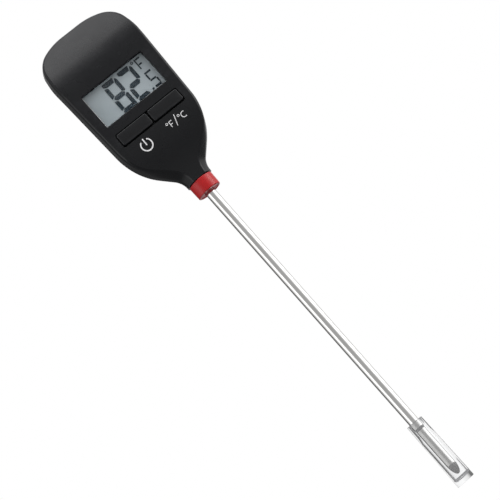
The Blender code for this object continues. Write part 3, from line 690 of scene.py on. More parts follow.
def lathe(profile: Profile, steps: int = 64, axis: Axis = Axis.UP, centre: Point = (0.0, 0.0, 0.0),
          closed: bool = False) -> bmesh.types.BMesh:
    """Spin a profile of (radius, height) points.

    Args:
        profile: the points, on the axis at both ends or closed.
        steps: segments round the axis.
        axis: the axis to spin about.
        centre: a point on the axis, from which the heights count.
        closed: whether the profile's last point joins its first.

    Returns:
        The turned mesh.
    """
    bm = bmesh.new()

    def spot(radius: float, height: float, angle: float) -> Point:
        """Turn a point of the profile about the axis.

        Args:
            radius: its distance from the axis.
            height: its height along the axis.
            angle: the turn.

        Returns:
            The point in the frame.
        """
        across, other = radius * math.cos(angle), radius * math.sin(angle)
        if axis is Axis.UP:
            return (centre[0] + across, centre[1] + other, centre[2] + height)
        return (centre[0] + across, centre[1] + height, centre[2] + other)

    rings = []
    for radius, height in profile:
        turns = 1 if radius < 0.001 * MM else steps
        rings.append([bm.verts.new(spot(radius, height, math.tau * i / steps)) for i in range(turns)])
    pairs = list(zip(rings, rings[1:]))
    if closed:
        pairs.append((rings[-1], rings[0]))
    for low, high in pairs:
        for i in range(steps):
            j = (i + 1) % steps
            if len(low) == 1 and len(high) == 1:
                break
            if len(low) == 1:
                bm.faces.new((low[0], high[j], high[i]))
            elif len(high) == 1:
                bm.faces.new((low[i], low[j], high[0]))
            else:
                bm.faces.new((low[i], low[j], high[j], high[i]))
    return bm


def rod(radius: float, low: float, high: float) -> Profile:
    """Return the profile of a plain cylinder between two heights."""
    return [(0.0, low), (radius, low), (radius, high), (0.0, high)]


def loft(loops: Sequence[Sequence[Point]]) -> bmesh.types.BMesh:
    """Join loops of equally many points into a closed solid.

    Args:
        loops: the loops, from one end to the other.

    Returns:
        The solid's mesh.
    """
    bm = bmesh.new()
    rings = [[bm.verts.new(point) for point in loop] for loop in loops]
    count = len(rings[0])
    for low, high in zip(rings, rings[1:]):
        for i in range(count):
            j = (i + 1) % count
            bm.faces.new((low[i], low[j], high[j], high[i]))
    bm.faces.new(rings[0])
    bm.faces.new(rings[-1])
    return bm


def plate(points: Sequence[tuple[float, float]], low_y: float, high_y: float) -> bmesh.types.BMesh:
    """Extrude an outline of (x, z) points along Y."""
    return loft([[(x, low_y, z) for x, z in points], [(x, high_y, z) for x, z in points]])


def gathered(parts: Iterable[bmesh.types.BMesh]) -> bmesh.types.BMesh:
    """Put meshes that don't touch into one.

    Args:
        parts: the meshes, which are used up.

    Returns:
        The mesh of them all.
    """
    whole = bmesh.new()
    for part in parts:
        mesh = bpy.data.meshes.new("part")
        part.to_mesh(mesh)
        part.free()
        whole.from_mesh(mesh)
        bpy.data.meshes.remove(mesh)
    return whole

@dataclass(frozen=True)
class RoundedBox:
    """A rectangle in the XZ plane with rounded corners."""

    x: float
    z: float
    half_width: float
    half_height: float
    radius: float

    def loop(self, inset: float, y: float, steps: int = 6) -> list[Point]:
        """Trace the shape's outline.

        Args:
            inset: how far the outline is drawn in.
            y: its depth.
            steps: segments of each corner.

        Returns:
            The outline's points.
        """
        wide, tall = self.half_width - inset, self.half_height - inset
        radius = min(max(self.radius - inset, 0.05 * MM), wide * 0.98, tall * 0.98)
        points = []
        for quarter, (sx, sz) in enumerate(((1, 1), (-1, 1), (-1, -1), (1, -1))):
            centre_x, centre_z = self.x + sx * (wide - radius), self.z + sz * (tall - radius)
            for step in range(steps + 1):
                angle = math.radians(90.0) * (quarter + step / steps)
                points.append((centre_x + radius * math.cos(angle), y, centre_z + radius * math.sin(angle)))
        return points

    def opening(self, inner_y: float, face_y: float, lip: float, steps: int = 5) -> bmesh.types.BMesh:
        """Return a cutter for this shape that leaves a rounded lip at the front face.

        Args:
            inner_y: where the cutter ends inside.
            face_y: the depth of the face, in front of which the cutter goes on.
            lip: the radius of the lip.
            steps: segments of the lip.

        Returns:
            The cutter's mesh.
        """
        loops = [self.loop(0.0, inner_y)]
        for step in range(steps + 1):
            angle = math.radians(80.0) * step / steps
            loops.append(self.loop(-lip * (1.0 - math.cos(angle)), face_y + lip * (1.0 - math.sin(angle))))
        loops.append(self.loop(-lip, face_y - OVERRUN))
        return loft(loops)


def object_of(name: str, bm: bmesh.types.BMesh, sharp: float = 32.0) -> bpy.types.Object:
    """Turn a mesh into a linked object with its faces pointing out.

    Args:
        name: the object's name.
        bm: its mesh, which is used up.
        sharp: the angle in degrees above which an edge stays crisp.

    Returns:
        The object.
    """
    bmesh.ops.recalc_face_normals(bm, faces=bm.faces)
    mesh = bpy.data.meshes.new(name)
    bm.to_mesh(mesh)
    bm.free()
    mesh.shade_smooth()
    mesh.set_sharp_from_angle(angle=math.radians(sharp))
    made = bpy.data.objects.new(name, mesh)
    bpy.context.scene.collection.objects.link(made)
    return made


class Carving:
    """Joins and cuts an object with others, then settles the result in its mesh."""

    WELD_REACH = 0.002 * MM
    def __init__(self, made: bpy.types.Object) -> None:
        """Take the object that is worked on."""
        self.made = made
        self.tools: list[bpy.types.Object] = []

    def _use(self, bm: bmesh.types.BMesh, operation: str) -> None:
        """Add one Boolean step.

        Args:
            bm: the other shape, which is used up.
            operation: the Boolean's operation.
        """
        tool = object_of(f"{self.made.name}_tool", bm)
        self.tools.append(tool)
        modifier = self.made.modifiers.new(operation.lower(), 'BOOLEAN')
        modifier.operation = operation
        modifier.solver = 'EXACT'
        modifier.object = tool

    def join(self, bm: bmesh.types.BMesh) -> Carving:
        """Add a shape to the object."""
        self._use(bm, 'UNION')
        return self

    def cut(self, bm: bmesh.types.BMesh) -> Carving:
        """Take a shape away from the object.

        Args:
            bm: the shape, which is used up.

        Returns:
            This carving, for the next step.
        """
        self._use(bm, 'DIFFERENCE')
        weld = self.made.modifiers.new("weld", 'WELD')
        weld.merge_threshold = self.WELD_REACH
        return self

    def settle(self, sharp: float = 32.0) -> bpy.types.Object:
        """Write the result into the mesh and remove the tools.

        Args:
            sharp: the angle in degrees above which an edge stays crisp.

        Returns:
            The finished object.
        """
        bpy.context.view_layer.update()
        graph = bpy.context.evaluated_depsgraph_get()
        mesh = bpy.data.meshes.new_from_object(self.made.evaluated_get(graph))
        self.made.modifiers.clear()
        mesh.name = self.made.name
        mesh.shade_smooth()
        mesh.set_sharp_from_angle(angle=math.radians(sharp))
        self.made.data = mesh
        for tool in self.tools:
            bpy.data.objects.remove(tool, do_unlink=True)
        normals = self.made.modifiers.new("even_faces", 'WEIGHTED_NORMAL')
        normals.keep_sharp = True
        return self.made


@dataclass
class Workshop:
    """Dresses pieces, ties them to the frame and reports them."""

    finishes: Finishes

    def fit(self, made: bpy.types.Object, finish: Finish, body: str = "root",
            replaces: Sequence[str] = ()) -> bpy.types.Object:
        """Give a piece its material and its place in the frame.

        Args:
            made: the piece.
            finish: its finish.
            body: the frame's body that it rides on.
            replaces: the frame's nodes that it stands for.

        Returns:
            The piece.
        """
        made.data.materials.clear()
        made.data.materials.append(self.finishes.of(finish))
        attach(made, body)
        if replaces:
            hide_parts(*replaces)
        LOG.info("%s: %d faces on %s", made.name, len(made.data.polygons), body)
        return made

    def dress(self, finish: Finish, *nodes: str) -> None:
        """Give nodes that stay as they are a finish.

        Args:
            finish: the finish.
            nodes: the nodes' names.
        """
        for name in nodes:
            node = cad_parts[name]
            node.data.materials.clear()
            node.data.materials.append(self.finishes.of(finish))
            LOG.info("%s: carried over", name)


class Section(Protocol):
    """A sub-assembly that builds and dresses its own pieces."""

    def build(self, shop: Workshop) -> None:
        """Build and dress the pieces."""

# ---------------------------------------------------------------- head housing

@dataclass(frozen=True)
class HeadForm:
    """Outline and depth of the head, shared by its two halves and the legends."""

    neck_base: float = 5.5 * MM
    outline: tuple[Corner, ...] = (
        (5.3 * MM, 5.5 * MM, 0.0), (5.3 * MM, 8.7 * MM, 6.8 * MM), (17.4 * MM, 21.1 * MM, 23.7 * MM),
        (19.25 * MM, 64.0 * MM, 30.0 * MM), (17.65 * MM, 74.6 * MM, 10.2 * MM),
        (8.0 * MM, 78.5 * MM, 21.5 * MM), (2.0 * MM, 78.5 * MM, 0.0))
    joint_shift: float = -2.6 * MM
    top_shift: float = 3.3 * MM
    top_range: tuple[float, float] = (56.0 * MM, 80.5 * MM)
    front_depth: float = 6.1 * MM
    front_depth_neck: float = 4.7 * MM
    rear_depth: float = 9.1 * MM
    rear_depth_neck: float = 5.0 * MM
    neck_end: float = 8.0 * MM
    head_start: float = 30.0 * MM
    front_roll: tuple[float, float] = (58.9 * MM, 23.0 * MM)
    rear_roll: tuple[float, float] = (57.0 * MM, 25.0 * MM)
    wall: float = 1.6 * MM
    cavity_floor: float = 8.8 * MM
    cavity_rise: float = 0.5 * MM
    cavity_foot: float = 1.0 * MM
    rear_round: float = 6.6 * MM
    rear_taper: float = 0.8 * MM
    rear_flat: float = 0.5 * MM
    seam: float = 0.12 * MM
    least_half: float = 0.3 * MM
    edge_range: tuple[float, float] = (9.0 * MM, 22.0 * MM)
    head_edge: tuple[tuple[float, float], ...] = (
        (0.0, 0.0), (0.2 * MM, 0.5), (0.35 * MM, 0.8), (0.7 * MM, 0.94), (1.3 * MM, 1.0))
    neck_edge: tuple[tuple[float, float], ...] = (
        (0.0, 0.0), (0.25 * MM, 0.3), (1.3 * MM, 0.65), (2.5 * MM, 0.97), (3.1 * MM, 1.0))

    @property
    def face_y(self) -> float:
        """Depth of the flat front face."""
        return self.joint_shift - self.front_depth

    @property
    def rear_y(self) -> float:
        """Depth of the flat back."""
        return self.joint_shift + self.rear_depth

    def head_share(self, z: float) -> float:
        """Return 0 at the neck and 1 at the head."""
        return smooth_step(z, self.neck_end, self.head_start)

    def back_shift(self, z: float) -> float:
        """Return how far the plane between the halves has moved back at a height."""
        return self.top_shift * smooth_step(z, *self.top_range)

    def joint_plane(self, z: float) -> float:
        """Return the depth of the plane between the halves at a height."""
        return self.joint_shift * self.head_share(z) + self.back_shift(z)

    def depth(self, side: int, z: float) -> float:
        """Work out how far a half reaches from the plane between the halves.

        Args:
            side: -1 for the front, 1 for the back.
            z: the height.

        Returns:
            Its depth there.
        """
        start, length = self.front_roll if side < 0 else self.rear_roll
        reach = max(0.0, z - start) / length
        full = mix(self.front_depth_neck, self.front_depth, self.head_share(z))
        if side > 0:
            full = mix(self.rear_depth_neck, self.rear_depth, self.head_share(z)) - self.back_shift(z)
        return full * math.sqrt(max(0.0, 1.0 - reach * reach))

    def front_at(self, z: float) -> float:
        """Return the depth of the front face's surface at a height."""
        return self.joint_plane(z) - self.depth(-1, z)

    def stations(self, arc_steps: int, longest: float) -> list[tuple[float, float, float, float]]:
        """Walk up the right half of the outline.

        Args:
            arc_steps: segments of each rounded corner.
            longest: the longest straight step.

        Returns:
            (x, z, outward x, outward z) of each station.
        """
        first = self.outline[0]
        path = [(first[0], first[1], 1.0, 0.0)]
        for index in range(1, len(self.outline) - 1):
            x, z, radius = self.outline[index]
            before, after = self.outline[index - 1], self.outline[index + 1]
            a = math.atan2(z - before[1], x - before[0])
            b = math.atan2(after[1] - z, after[0] - x)
            tangent = abs(radius * math.tan((b - a) / 2.0))
            side = 1.0 if b > a else -1.0
            centre = (x - tangent * math.cos(a) - side * radius * math.sin(a),
                      z - tangent * math.sin(a) + side * radius * math.cos(a))
            for step in range(arc_steps + 1):
                heading = mix(a, b, step / arc_steps)
                out = (math.sin(heading), -math.cos(heading))
                path.append((centre[0] + side * radius * out[0], centre[1] + side * radius * out[1], *out))
        walked = [path[0]]
        for low, high in zip(path, path[1:]):
            parts = max(1, math.ceil((high[1] - low[1]) / longest))
            walked += [tuple(mix(p, q, i / parts) for p, q in zip(low, high)) for i in range(1, parts + 1)]
        return walked

    def edge(self, side: int, z: float, half_width: float, fine: int) -> list[tuple[float, float]]:
        """Return inset and share of the depth for each ring of a half's edge.

        Args:
            side: -1 for the front, 1 for the back.
            z: the height.
            half_width: the outline's half width there.
            fine: rings between two points of the section, or 0 for a plain one.

        Returns:
            The rings from the joint plane outward.
        """
        if side < 0:
            part = smooth_step(z, *self.edge_range)
            coarse = [(mix(n[0], h[0], part), mix(n[1], h[1], part))
                      for n, h in zip(self.neck_edge, self.head_edge)]
            rings = eased(coarse, fine) if fine else coarse
        else:
            reach = min(self.rear_round, half_width - self.rear_flat)
            count = 5 * max(1, fine)
            angles = [math.radians(90.0) * i / count for i in range(count + 1)]
            taper = self.rear_taper * self.head_share(z)
            rings = [(reach * (1.0 - math.cos(a)) + taper * math.sin(a), math.sin(a)) for a in angles]
        if fine:
            rings = [(self.seam, 0.0), (0.0, 2.0 * self.seam / self.front_depth)] + rings[1:]
        return rings

    def half(self, side: int, fine: int, wall: float = 0.0,
             joint_gap: float = GAP / 2.0) -> bmesh.types.BMesh:
        """Build one half of the head as a solid.

        Args:
            side: -1 for the front, 1 for the back.
            fine: rings between two points of the edge's section, or 0 for the plain cavity.
            wall: how far the solid lies inside the outer form.
            joint_gap: how far it stays from the joint plane.

        Returns:
            The half's mesh.
        """
        stations = self.stations(16 if fine else 6, 1.5 * MM if fine else 50.0 * MM)
        floor = self.neck_base
        if wall:
            floor = self.cavity_floor
            stations = [s for s in stations if s[1] - s[3] * wall > floor + self.cavity_rise]
            stations.insert(0, (stations[0][0] - self.cavity_foot, floor, 1.0, 0.0))
        right = []
        for x, z, out_x, out_z in stations:
            on_side = out_x > 0.7
            column = []
            for inset, share in self.edge(side, z, x if on_side else 1.0, fine):
                inset += wall
                height = max(z - out_z * inset, floor)
                deep = self.depth(side, height) - wall - joint_gap
                y = self.joint_plane(height) + side * (joint_gap + deep * share)
                column.append((max(x - out_x * inset, self.least_half), y, height))
            right.append(column)
        bm = bmesh.new()
        grid = []
        for ring in range(len(right[0])):
            chain = [column[ring] for column in right]
            chain += [(-x, y, z) for x, y, z in reversed(chain)]
            grid.append([bm.verts.new(point) for point in chain])
        count = len(grid[0])
        for low, high in zip(grid, grid[1:]):
            for i in range(count - 1):
                bm.faces.new((low[i], low[i + 1], high[i + 1], high[i]))
        for chain in (grid[0], grid[-1]):
            for i in range(count // 2 - 1):
                bm.faces.new((chain[i], chain[i + 1], chain[count - 2 - i], chain[count - 1 - i]))
        bm.faces.new([chain[0] for chain in grid] + [chain[-1] for chain in reversed(grid)])
        bmesh.ops.triangulate(bm, faces=bm.faces)
        return bm


def eased(points: Sequence[tuple[float, float]], parts: int) -> list[tuple[float, float]]:
    """Run a smooth curve through points.

    Args:
        points: inset and share of the depth of each point.
        parts: parts between each two points.

    Returns:
        The curve's points.
    """
    run = [Vector(points[0])] + [Vector(p) for p in points] + [Vector(points[-1])]
    result = []
    for a, b, c, d in zip(run, run[1:], run[2:], run[3:]):
        for step in range(parts):
            t = step / parts
            spot = 0.5 * (2.0 * b + (c - a) * t + (2.0 * a - 5.0 * b + 4.0 * c - d) * t * t
                          + (3.0 * b - a - 3.0 * c + d) * t * t * t)
            result.append((max(0.0, spot.x), min(1.0, spot.y)))
    return result + [tuple(points[-1])]


@dataclass(frozen=True)
class ScrewPlace:
    """Where a case screw stands."""

    name: str
    x: float
    z: float


@dataclass
class Housing:
    """The two black halves of the head."""

    form: HeadForm
    spigot_radius: float = 4.0 * MM
    spigot_base: float = 3.2 * MM
    spigot_sink: float = 1.2 * MM
    bore: float = 2.3 * MM
    window: RoundedBox = RoundedBox(-0.25 * MM, 46.45 * MM, 13.6 * MM, 7.3 * MM, 0.4 * MM)
    keyway: RoundedBox = RoundedBox(0.0, 32.3 * MM, 13.9 * MM, 2.8 * MM, 0.7 * MM)
    lip: float = 0.18 * MM
    screws: tuple[ScrewPlace, ...] = (
        ScrewPlace("upper_left", -12.0 * MM, 65.0 * MM), ScrewPlace("upper_right", 12.0 * MM, 65.0 * MM),
        ScrewPlace("lower_left", -9.2 * MM, 24.6 * MM), ScrewPlace("lower_right", 9.2 * MM, 24.6 * MM))
    pilot_radius: float = 1.15 * MM
    pilot_end: float = -4.8 * MM
    front_post: float = 2.2 * MM
    front_post_sink: float = 0.9 * MM
    front_post_back: float = -1.15 * MM
    rear_post: float = 2.6 * MM
    rear_post_front: float = -0.85 * MM
    rear_post_back: float = 4.7 * MM
    counterbore: float = 2.1 * MM
    counterbore_floor: float = 3.3 * MM
    door_z: float = 46.0 * MM
    door_lip: float = 0.25 * MM
    recess: float = 10.4 * MM
    recess_floor: float = 5.1 * MM
    ledge_radius: float = 11.8 * MM
    ledge_hole: float = 8.7 * MM
    ledge_inner: float = 4.0 * MM
    ledge_sink: float = 0.5 * MM
    lug_radius: float = 9.6 * MM
    notch_half: float = 20.0
    notch_rise: float = 0.4 * MM
    release_turn: float = 50.0
    mark_radius: float = 0.55 * MM
    mark_hole: float = 0.28 * MM
    mark_depth: float = 0.15 * MM
    mark_reach: float = 1.35 * MM

    def _start(self, name: str, side: int) -> Carving:
        """Open a hollow half with its spigot.

        Args:
            name: the piece's name.
            side: -1 for the front, 1 for the back.

        Returns:
            The half, ready for its posts and holes.
        """
        made = object_of(name, self.form.half(side, 3))
        work = Carving(made).cut(self.form.half(side, 0, self.form.wall, -OVERRUN))
        angles = [math.pi * step / 24 for step in range(25)]
        reach = self.spigot_radius - GAP
        rim = [(self.spigot_radius * math.cos(a), side * (GAP + reach * math.sin(a))) for a in angles]
        heights = (self.spigot_base, self.form.neck_base + self.spigot_sink)
        return work.join(loft([[(x, y, z) for x, y in rim] for z in heights]))

    def _drill(self, work: Carving) -> None:
        """Cut the stem's bore into a half."""
        work.cut(lathe(rod(self.bore, 0.0, self.form.cavity_floor + OVERRUN)))

    def build_front(self) -> bpy.types.Object:
        """Build the front half with its window, keyway and screw posts.

        Returns:
            The half.
        """
        form = self.form
        work = self._start("front_housing", -1)
        for place in self.screws:
            post = rod(self.front_post, form.front_at(place.z) + self.front_post_sink, self.front_post_back)
            work.join(lathe(post, 20, Axis.BACK, (place.x, 0.0, place.z)))
        self._drill(work)
        pilot = rod(self.pilot_radius, self.pilot_end, 0.0)
        for place in self.screws:
            work.cut(lathe(pilot, 16, Axis.BACK, (place.x, 0.0, place.z)))
        inner = form.face_y + form.wall + OVERRUN
        work.cut(self.window.opening(inner, form.face_y, self.lip))
        work.cut(self.keyway.opening(inner, form.face_y, 1.4 * self.lip))
        return work.settle()

    def build_rear(self) -> bpy.types.Object:
        """Build the back half with its battery opening, screw holes and position marks.

        Returns:
            The half.
        """
        work = self._start("rear_housing", 1)
        centre = (0.0, 0.0, self.door_z)
        ledge = rod(self.ledge_radius, self.ledge_inner, self.form.rear_y - self.ledge_sink)
        work.join(lathe(ledge, 48, Axis.BACK, centre))
        post = rod(self.rear_post, self.rear_post_front, self.rear_post_back)
        for place in self.screws:
            work.join(lathe(post, 24, Axis.BACK, (place.x, 0.0, place.z)))
        self._drill(work)
        beyond = self.form.rear_y + OVERRUN
        start = self.rear_post_front - OVERRUN
        hole = [(0.0, start), (self.pilot_radius, start), (self.pilot_radius, self.counterbore_floor),
                (self.counterbore, self.counterbore_floor), (self.counterbore, beyond), (0.0, beyond)]
        for place in self.screws:
            work.cut(lathe(hole, 32, Axis.BACK, (place.x, 0.0, place.z)))
        self._open_bay(work, beyond)
        self._mark_positions(work, beyond)
        return work.settle()

    def _open_bay(self, work: Carving, beyond: float) -> None:
        """Cut the stepped battery opening and the notches that let the door's lugs in.

        Args:
            work: the back half.
            beyond: a depth behind the back face.
        """
        rear_y, lip = self.form.rear_y, self.door_lip
        flare = [(self.recess + lip * (1.0 - math.cos(a)), rear_y - lip * (1.0 - math.sin(a)))
                 for a in (math.radians(16.0 * i) for i in range(6))]
        opening = [(0.0, 0.0), (self.ledge_hole, 0.0), (self.ledge_hole, self.recess_floor),
                   (self.recess, self.recess_floor), *flare, (self.recess + lip, beyond), (0.0, beyond)]
        work.cut(lathe(opening, 96, Axis.BACK, (0.0, 0.0, self.door_z)))
        for middle in (-self.release_turn, 180.0 - self.release_turn):
            outline = sector(self.ledge_hole - OVERRUN, self.lug_radius + GAP, middle, self.notch_half,
                             self.door_z)
            work.cut(plate(outline, self.ledge_inner - OVERRUN, self.recess_floor + self.notch_rise))

    def _mark_positions(self, work: Carving, beyond: float) -> None:
        """Engrave a dot where the door's pointer is locked and a ring where it is released.

        Args:
            work: the back half.
            beyond: a depth behind the back face.
        """
        reach = self.recess + self.mark_reach
        floor = self.form.rear_y - self.mark_depth
        for turn, hole in ((0.0, 0.0), (self.release_turn, self.mark_hole)):
            angle = math.radians(-90.0 - turn)
            spot = (reach * math.cos(angle), 0.0, self.door_z + reach * math.sin(angle))
            mark = [(hole, floor), (self.mark_radius, floor), (self.mark_radius, beyond), (hole, beyond)]
            work.cut(lathe(mark, 24, Axis.BACK, spot, closed=hole > 0.0))

    def build(self, shop: Workshop) -> None:
        """Build and dress both halves."""
        shop.fit(self.build_front(), Finishes.HOUSING, "root", ["front_shell"])
        shop.fit(self.build_rear(), Finishes.HOUSING, "root", ["rear_shell"])


def sector(inner: float, outer: float, middle: float, half: float, centre_z: float,
           steps: int = 8) -> Profile:
    """Outline a ring sector in the XZ plane, its angles in degrees from +X towards +Z.

    Args:
        inner: its inner radius.
        outer: its outer radius.
        middle: the angle of its middle.
        half: half the angle that it spans.
        centre_z: the height of its centre, which lies at x = 0.
        steps: segments of each arc.

    Returns:
        The outline's points, first the outer arc and then the inner one.
    """
    angles = [math.radians(middle + half * (2.0 * i / steps - 1.0)) for i in range(steps + 1)]
    far = [(outer * math.cos(a), centre_z + outer * math.sin(a)) for a in angles]
    near = [(inner * math.cos(a), centre_z + inner * math.sin(a)) for a in reversed(angles)]
    return far + near


# ---------------------------------------------------------------- display

@dataclass
class Display:
    """Window, liquid crystal cell, its dark segments and a pale strip of painted highlight behind the
    window's left edge.
    """

    opening: RoundedBox
    digit_width: float = 6.05 * MM
    digit_height: float = 13.4 * MM
    digit_low: float = 39.8 * MM
    tens_left: float = -5.4 * MM
    ones_left: float = 1.5 * MM
    film: float = 0.08 * MM
    film_gap: float = 0.06 * MM
    segment_round: float = 0.28 * MM
    bar_round: float = 0.2 * MM
    ring: tuple[float, float] = (8.35 * MM, 52.75 * MM)
    ring_inner: float = 0.28 * MM
    ring_outer: float = 0.55 * MM
    window_corner: float = 0.35 * MM
    window_bevel: float = 0.3 * MM
    window_back_bevel: float = 0.08 * MM
    # place of the pale strip of painted highlight behind the window's left edge
    highlight_inset: float = 0.24 * MM
    highlight_width: float = 0.22 * MM
    highlight_end: float = 0.2 * MM
    highlight_front: float = 0.03 * MM
    highlight_back: float = 0.1 * MM

    # each segment's outline as shares of the digit's width and height, from its lower left corner
    SEGMENTS: ClassVar[dict[str, tuple[tuple[float, float], ...]]] = {
        "a": ((0.03, 1.0), (0.83, 1.0), (0.74, 0.858), (0.22, 0.858), (0.03, 0.905)),
        "b": ((0.91, 0.975), (1.0, 0.89), (1.0, 0.55), (0.945, 0.513), (0.765, 0.564), (0.765, 0.838)),
        "c": ((0.94, 0.462), (1.0, 0.41), (1.0, 0.02), (0.93, 0.02), (0.765, 0.14), (0.765, 0.405)),
        "d": ((0.2, 0.14), (0.74, 0.14), (0.87, 0.045), (0.87, 0.0), (0.037, 0.0), (0.037, 0.068)),
        "e": ((0.0, 0.453), (0.24, 0.393), (0.24, 0.162), (0.02, 0.123), (0.0, 0.137)),
        "f": ((0.0, 0.875), (0.24, 0.829), (0.24, 0.564), (0.037, 0.518), (0.0, 0.53)),
        "g": ((0.08, 0.487), (0.24, 0.556), (0.74, 0.556), (0.88, 0.49), (0.74, 0.414), (0.24, 0.414)),
    }
    LIT: ClassVar[dict[str, str]] = {"tens": "abcdefg", "ones": "abdeg"}
    # low x, low z, high x and high z in millimetres of the small bars at the display's right side
    UNIT_LETTER: ClassVar[tuple[Bar, ...]] = (
        (9.4, 48.9, 9.9, 53.2), (10.05, 52.55, 11.85, 53.2), (10.05, 50.4, 11.3, 51.0))
    SMALL_DIGIT: ClassVar[tuple[Bar, ...]] = (
        (9.2, 46.45, 11.9, 47.15), (9.15, 44.0, 9.78, 46.35), (9.3, 43.25, 11.8, 43.9),
        (11.55, 41.35, 12.2, 43.2), (9.4, 40.6, 12.0, 41.25))
    POINT: ClassVar[Bar] = (7.9, 40.35, 8.7, 41.2)

    def _digit(self, left: float, lit: str) -> list[Profile]:
        """Outline one digit's dark segments.

        Args:
            left: the digit's left side.
            lit: the segments' letters.

        Returns:
            The segments' outlines.
        """
        shapes = []
        for name in lit:
            corners = [(left + u * self.digit_width, self.digit_low + v * self.digit_height,
                        self.segment_round) for u, v in self.SEGMENTS[name]]
            shapes.append(fillet(corners, closed=True, steps=3))
        return shapes

    def _bar(self, bar: Bar) -> Profile:
        """Outline a small bar with rounded corners.

        Args:
            bar: its low x, low z, high x and high z in millimetres.

        Returns:
            The bar's outline.
        """
        x_low, z_low, x_high, z_high = bar
        corners = [(x_low, z_low), (x_high, z_low), (x_high, z_high), (x_low, z_high)]
        return fillet([(x * MM, z * MM, self.bar_round) for x, z in corners], closed=True, steps=3)

    def _small_marks(self) -> list[Profile]:
        """Outline the small unit letter, the small digit, the point and the degree ring.

        Returns:
            The marks' outlines.
        """
        bars = [self._bar(bar) for bar in (*self.UNIT_LETTER, *self.SMALL_DIGIT, self.POINT)]
        ring_x, ring_z = self.ring
        halves = [sector(self.ring_inner, self.ring_outer, middle, 88.0, ring_z) for middle in (0.0, 180.0)]
        return bars + [[(x + ring_x, z) for x, z in half] for half in halves]

    def build_segments(self) -> bpy.types.Object:
        """Build all dark segments as one thin printed layer between the two glasses.

        Returns:
            The layer.
        """
        rear_low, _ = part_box("lcd_rear_glass")
        high_y = rear_low.y - self.film_gap
        shapes = self._digit(self.tens_left, self.LIT["tens"]) + self._digit(self.ones_left, self.LIT["ones"])
        shapes += self._small_marks()
        layer = gathered(plate(outline, high_y - self.film, high_y) for outline in shapes)
        return object_of("display_segments", layer)

    def build_window(self) -> bpy.types.Object:
        """Build the clear window with its softened edges.

        Returns:
            The window.
        """
        low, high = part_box("window_lens")
        hole = self.opening
        shape = RoundedBox(hole.x, hole.z, hole.half_width - GAP, hole.half_height - GAP, self.window_corner)
        bevel = self.window_bevel
        loops = [shape.loop(bevel, low.y)]
        for step in range(1, 4):
            angle = math.radians(90.0) * step / 3
            loops.append(shape.loop(bevel * (1.0 - math.sin(angle)), low.y + bevel * (1.0 - math.cos(angle))))
        back_bevel = self.window_back_bevel
        loops += [shape.loop(0.0, high.y - back_bevel), shape.loop(back_bevel, high.y)]
        return object_of("display_window", loft(loops), 50.0)

    def build_painted_highlight(self) -> bpy.types.Object:
        """Build the pale strip behind the window's left edge, a painted highlight for light caught on the
        lens edge.

        Returns:
            The line.
        """
        hole = self.opening
        _, lens_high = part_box("window_lens")
        left = hole.x - hole.half_width + self.highlight_inset
        right = left + self.highlight_width
        reach = hole.half_height - self.highlight_end
        low, high = hole.z - reach, hole.z + reach
        line = plate([(left, low), (right, low), (right, high), (left, high)],
                     lens_high.y + self.highlight_front, lens_high.y + self.highlight_back)
        return object_of("display_painted_highlight", line)

    def build(self, shop: Workshop) -> None:
        """Build and dress the display.

        Args:
            shop: the workshop.
        """
        # the pale strip is a painted highlight on the window's left edge
        shop.fit(self.build_painted_highlight(), Finishes.PAINTED_EDGE_HIGHLIGHT, "root")
        shop.fit(self.build_window(), Finishes.LENS, "root", ["window_lens"])
        shop.fit(self.build_segments(), Finishes.SEGMENT, "root")
        shop.dress(Finishes.GLASS, "lcd_front_glass")
        # the backing's finish carries painted light, lighter towards +X
        shop.dress(Finishes.BACKING_AND_PAINTED_LIGHT, "lcd_rear_glass")
        shop.dress(Finishes.FILM, "lcd_reflector")
        shop.dress(Finishes.FRAME, "lcd_holder")
        shop.dress(Finishes.ZEBRA, "display_connector")


# ---------------------------------------------------------------- keys and legends

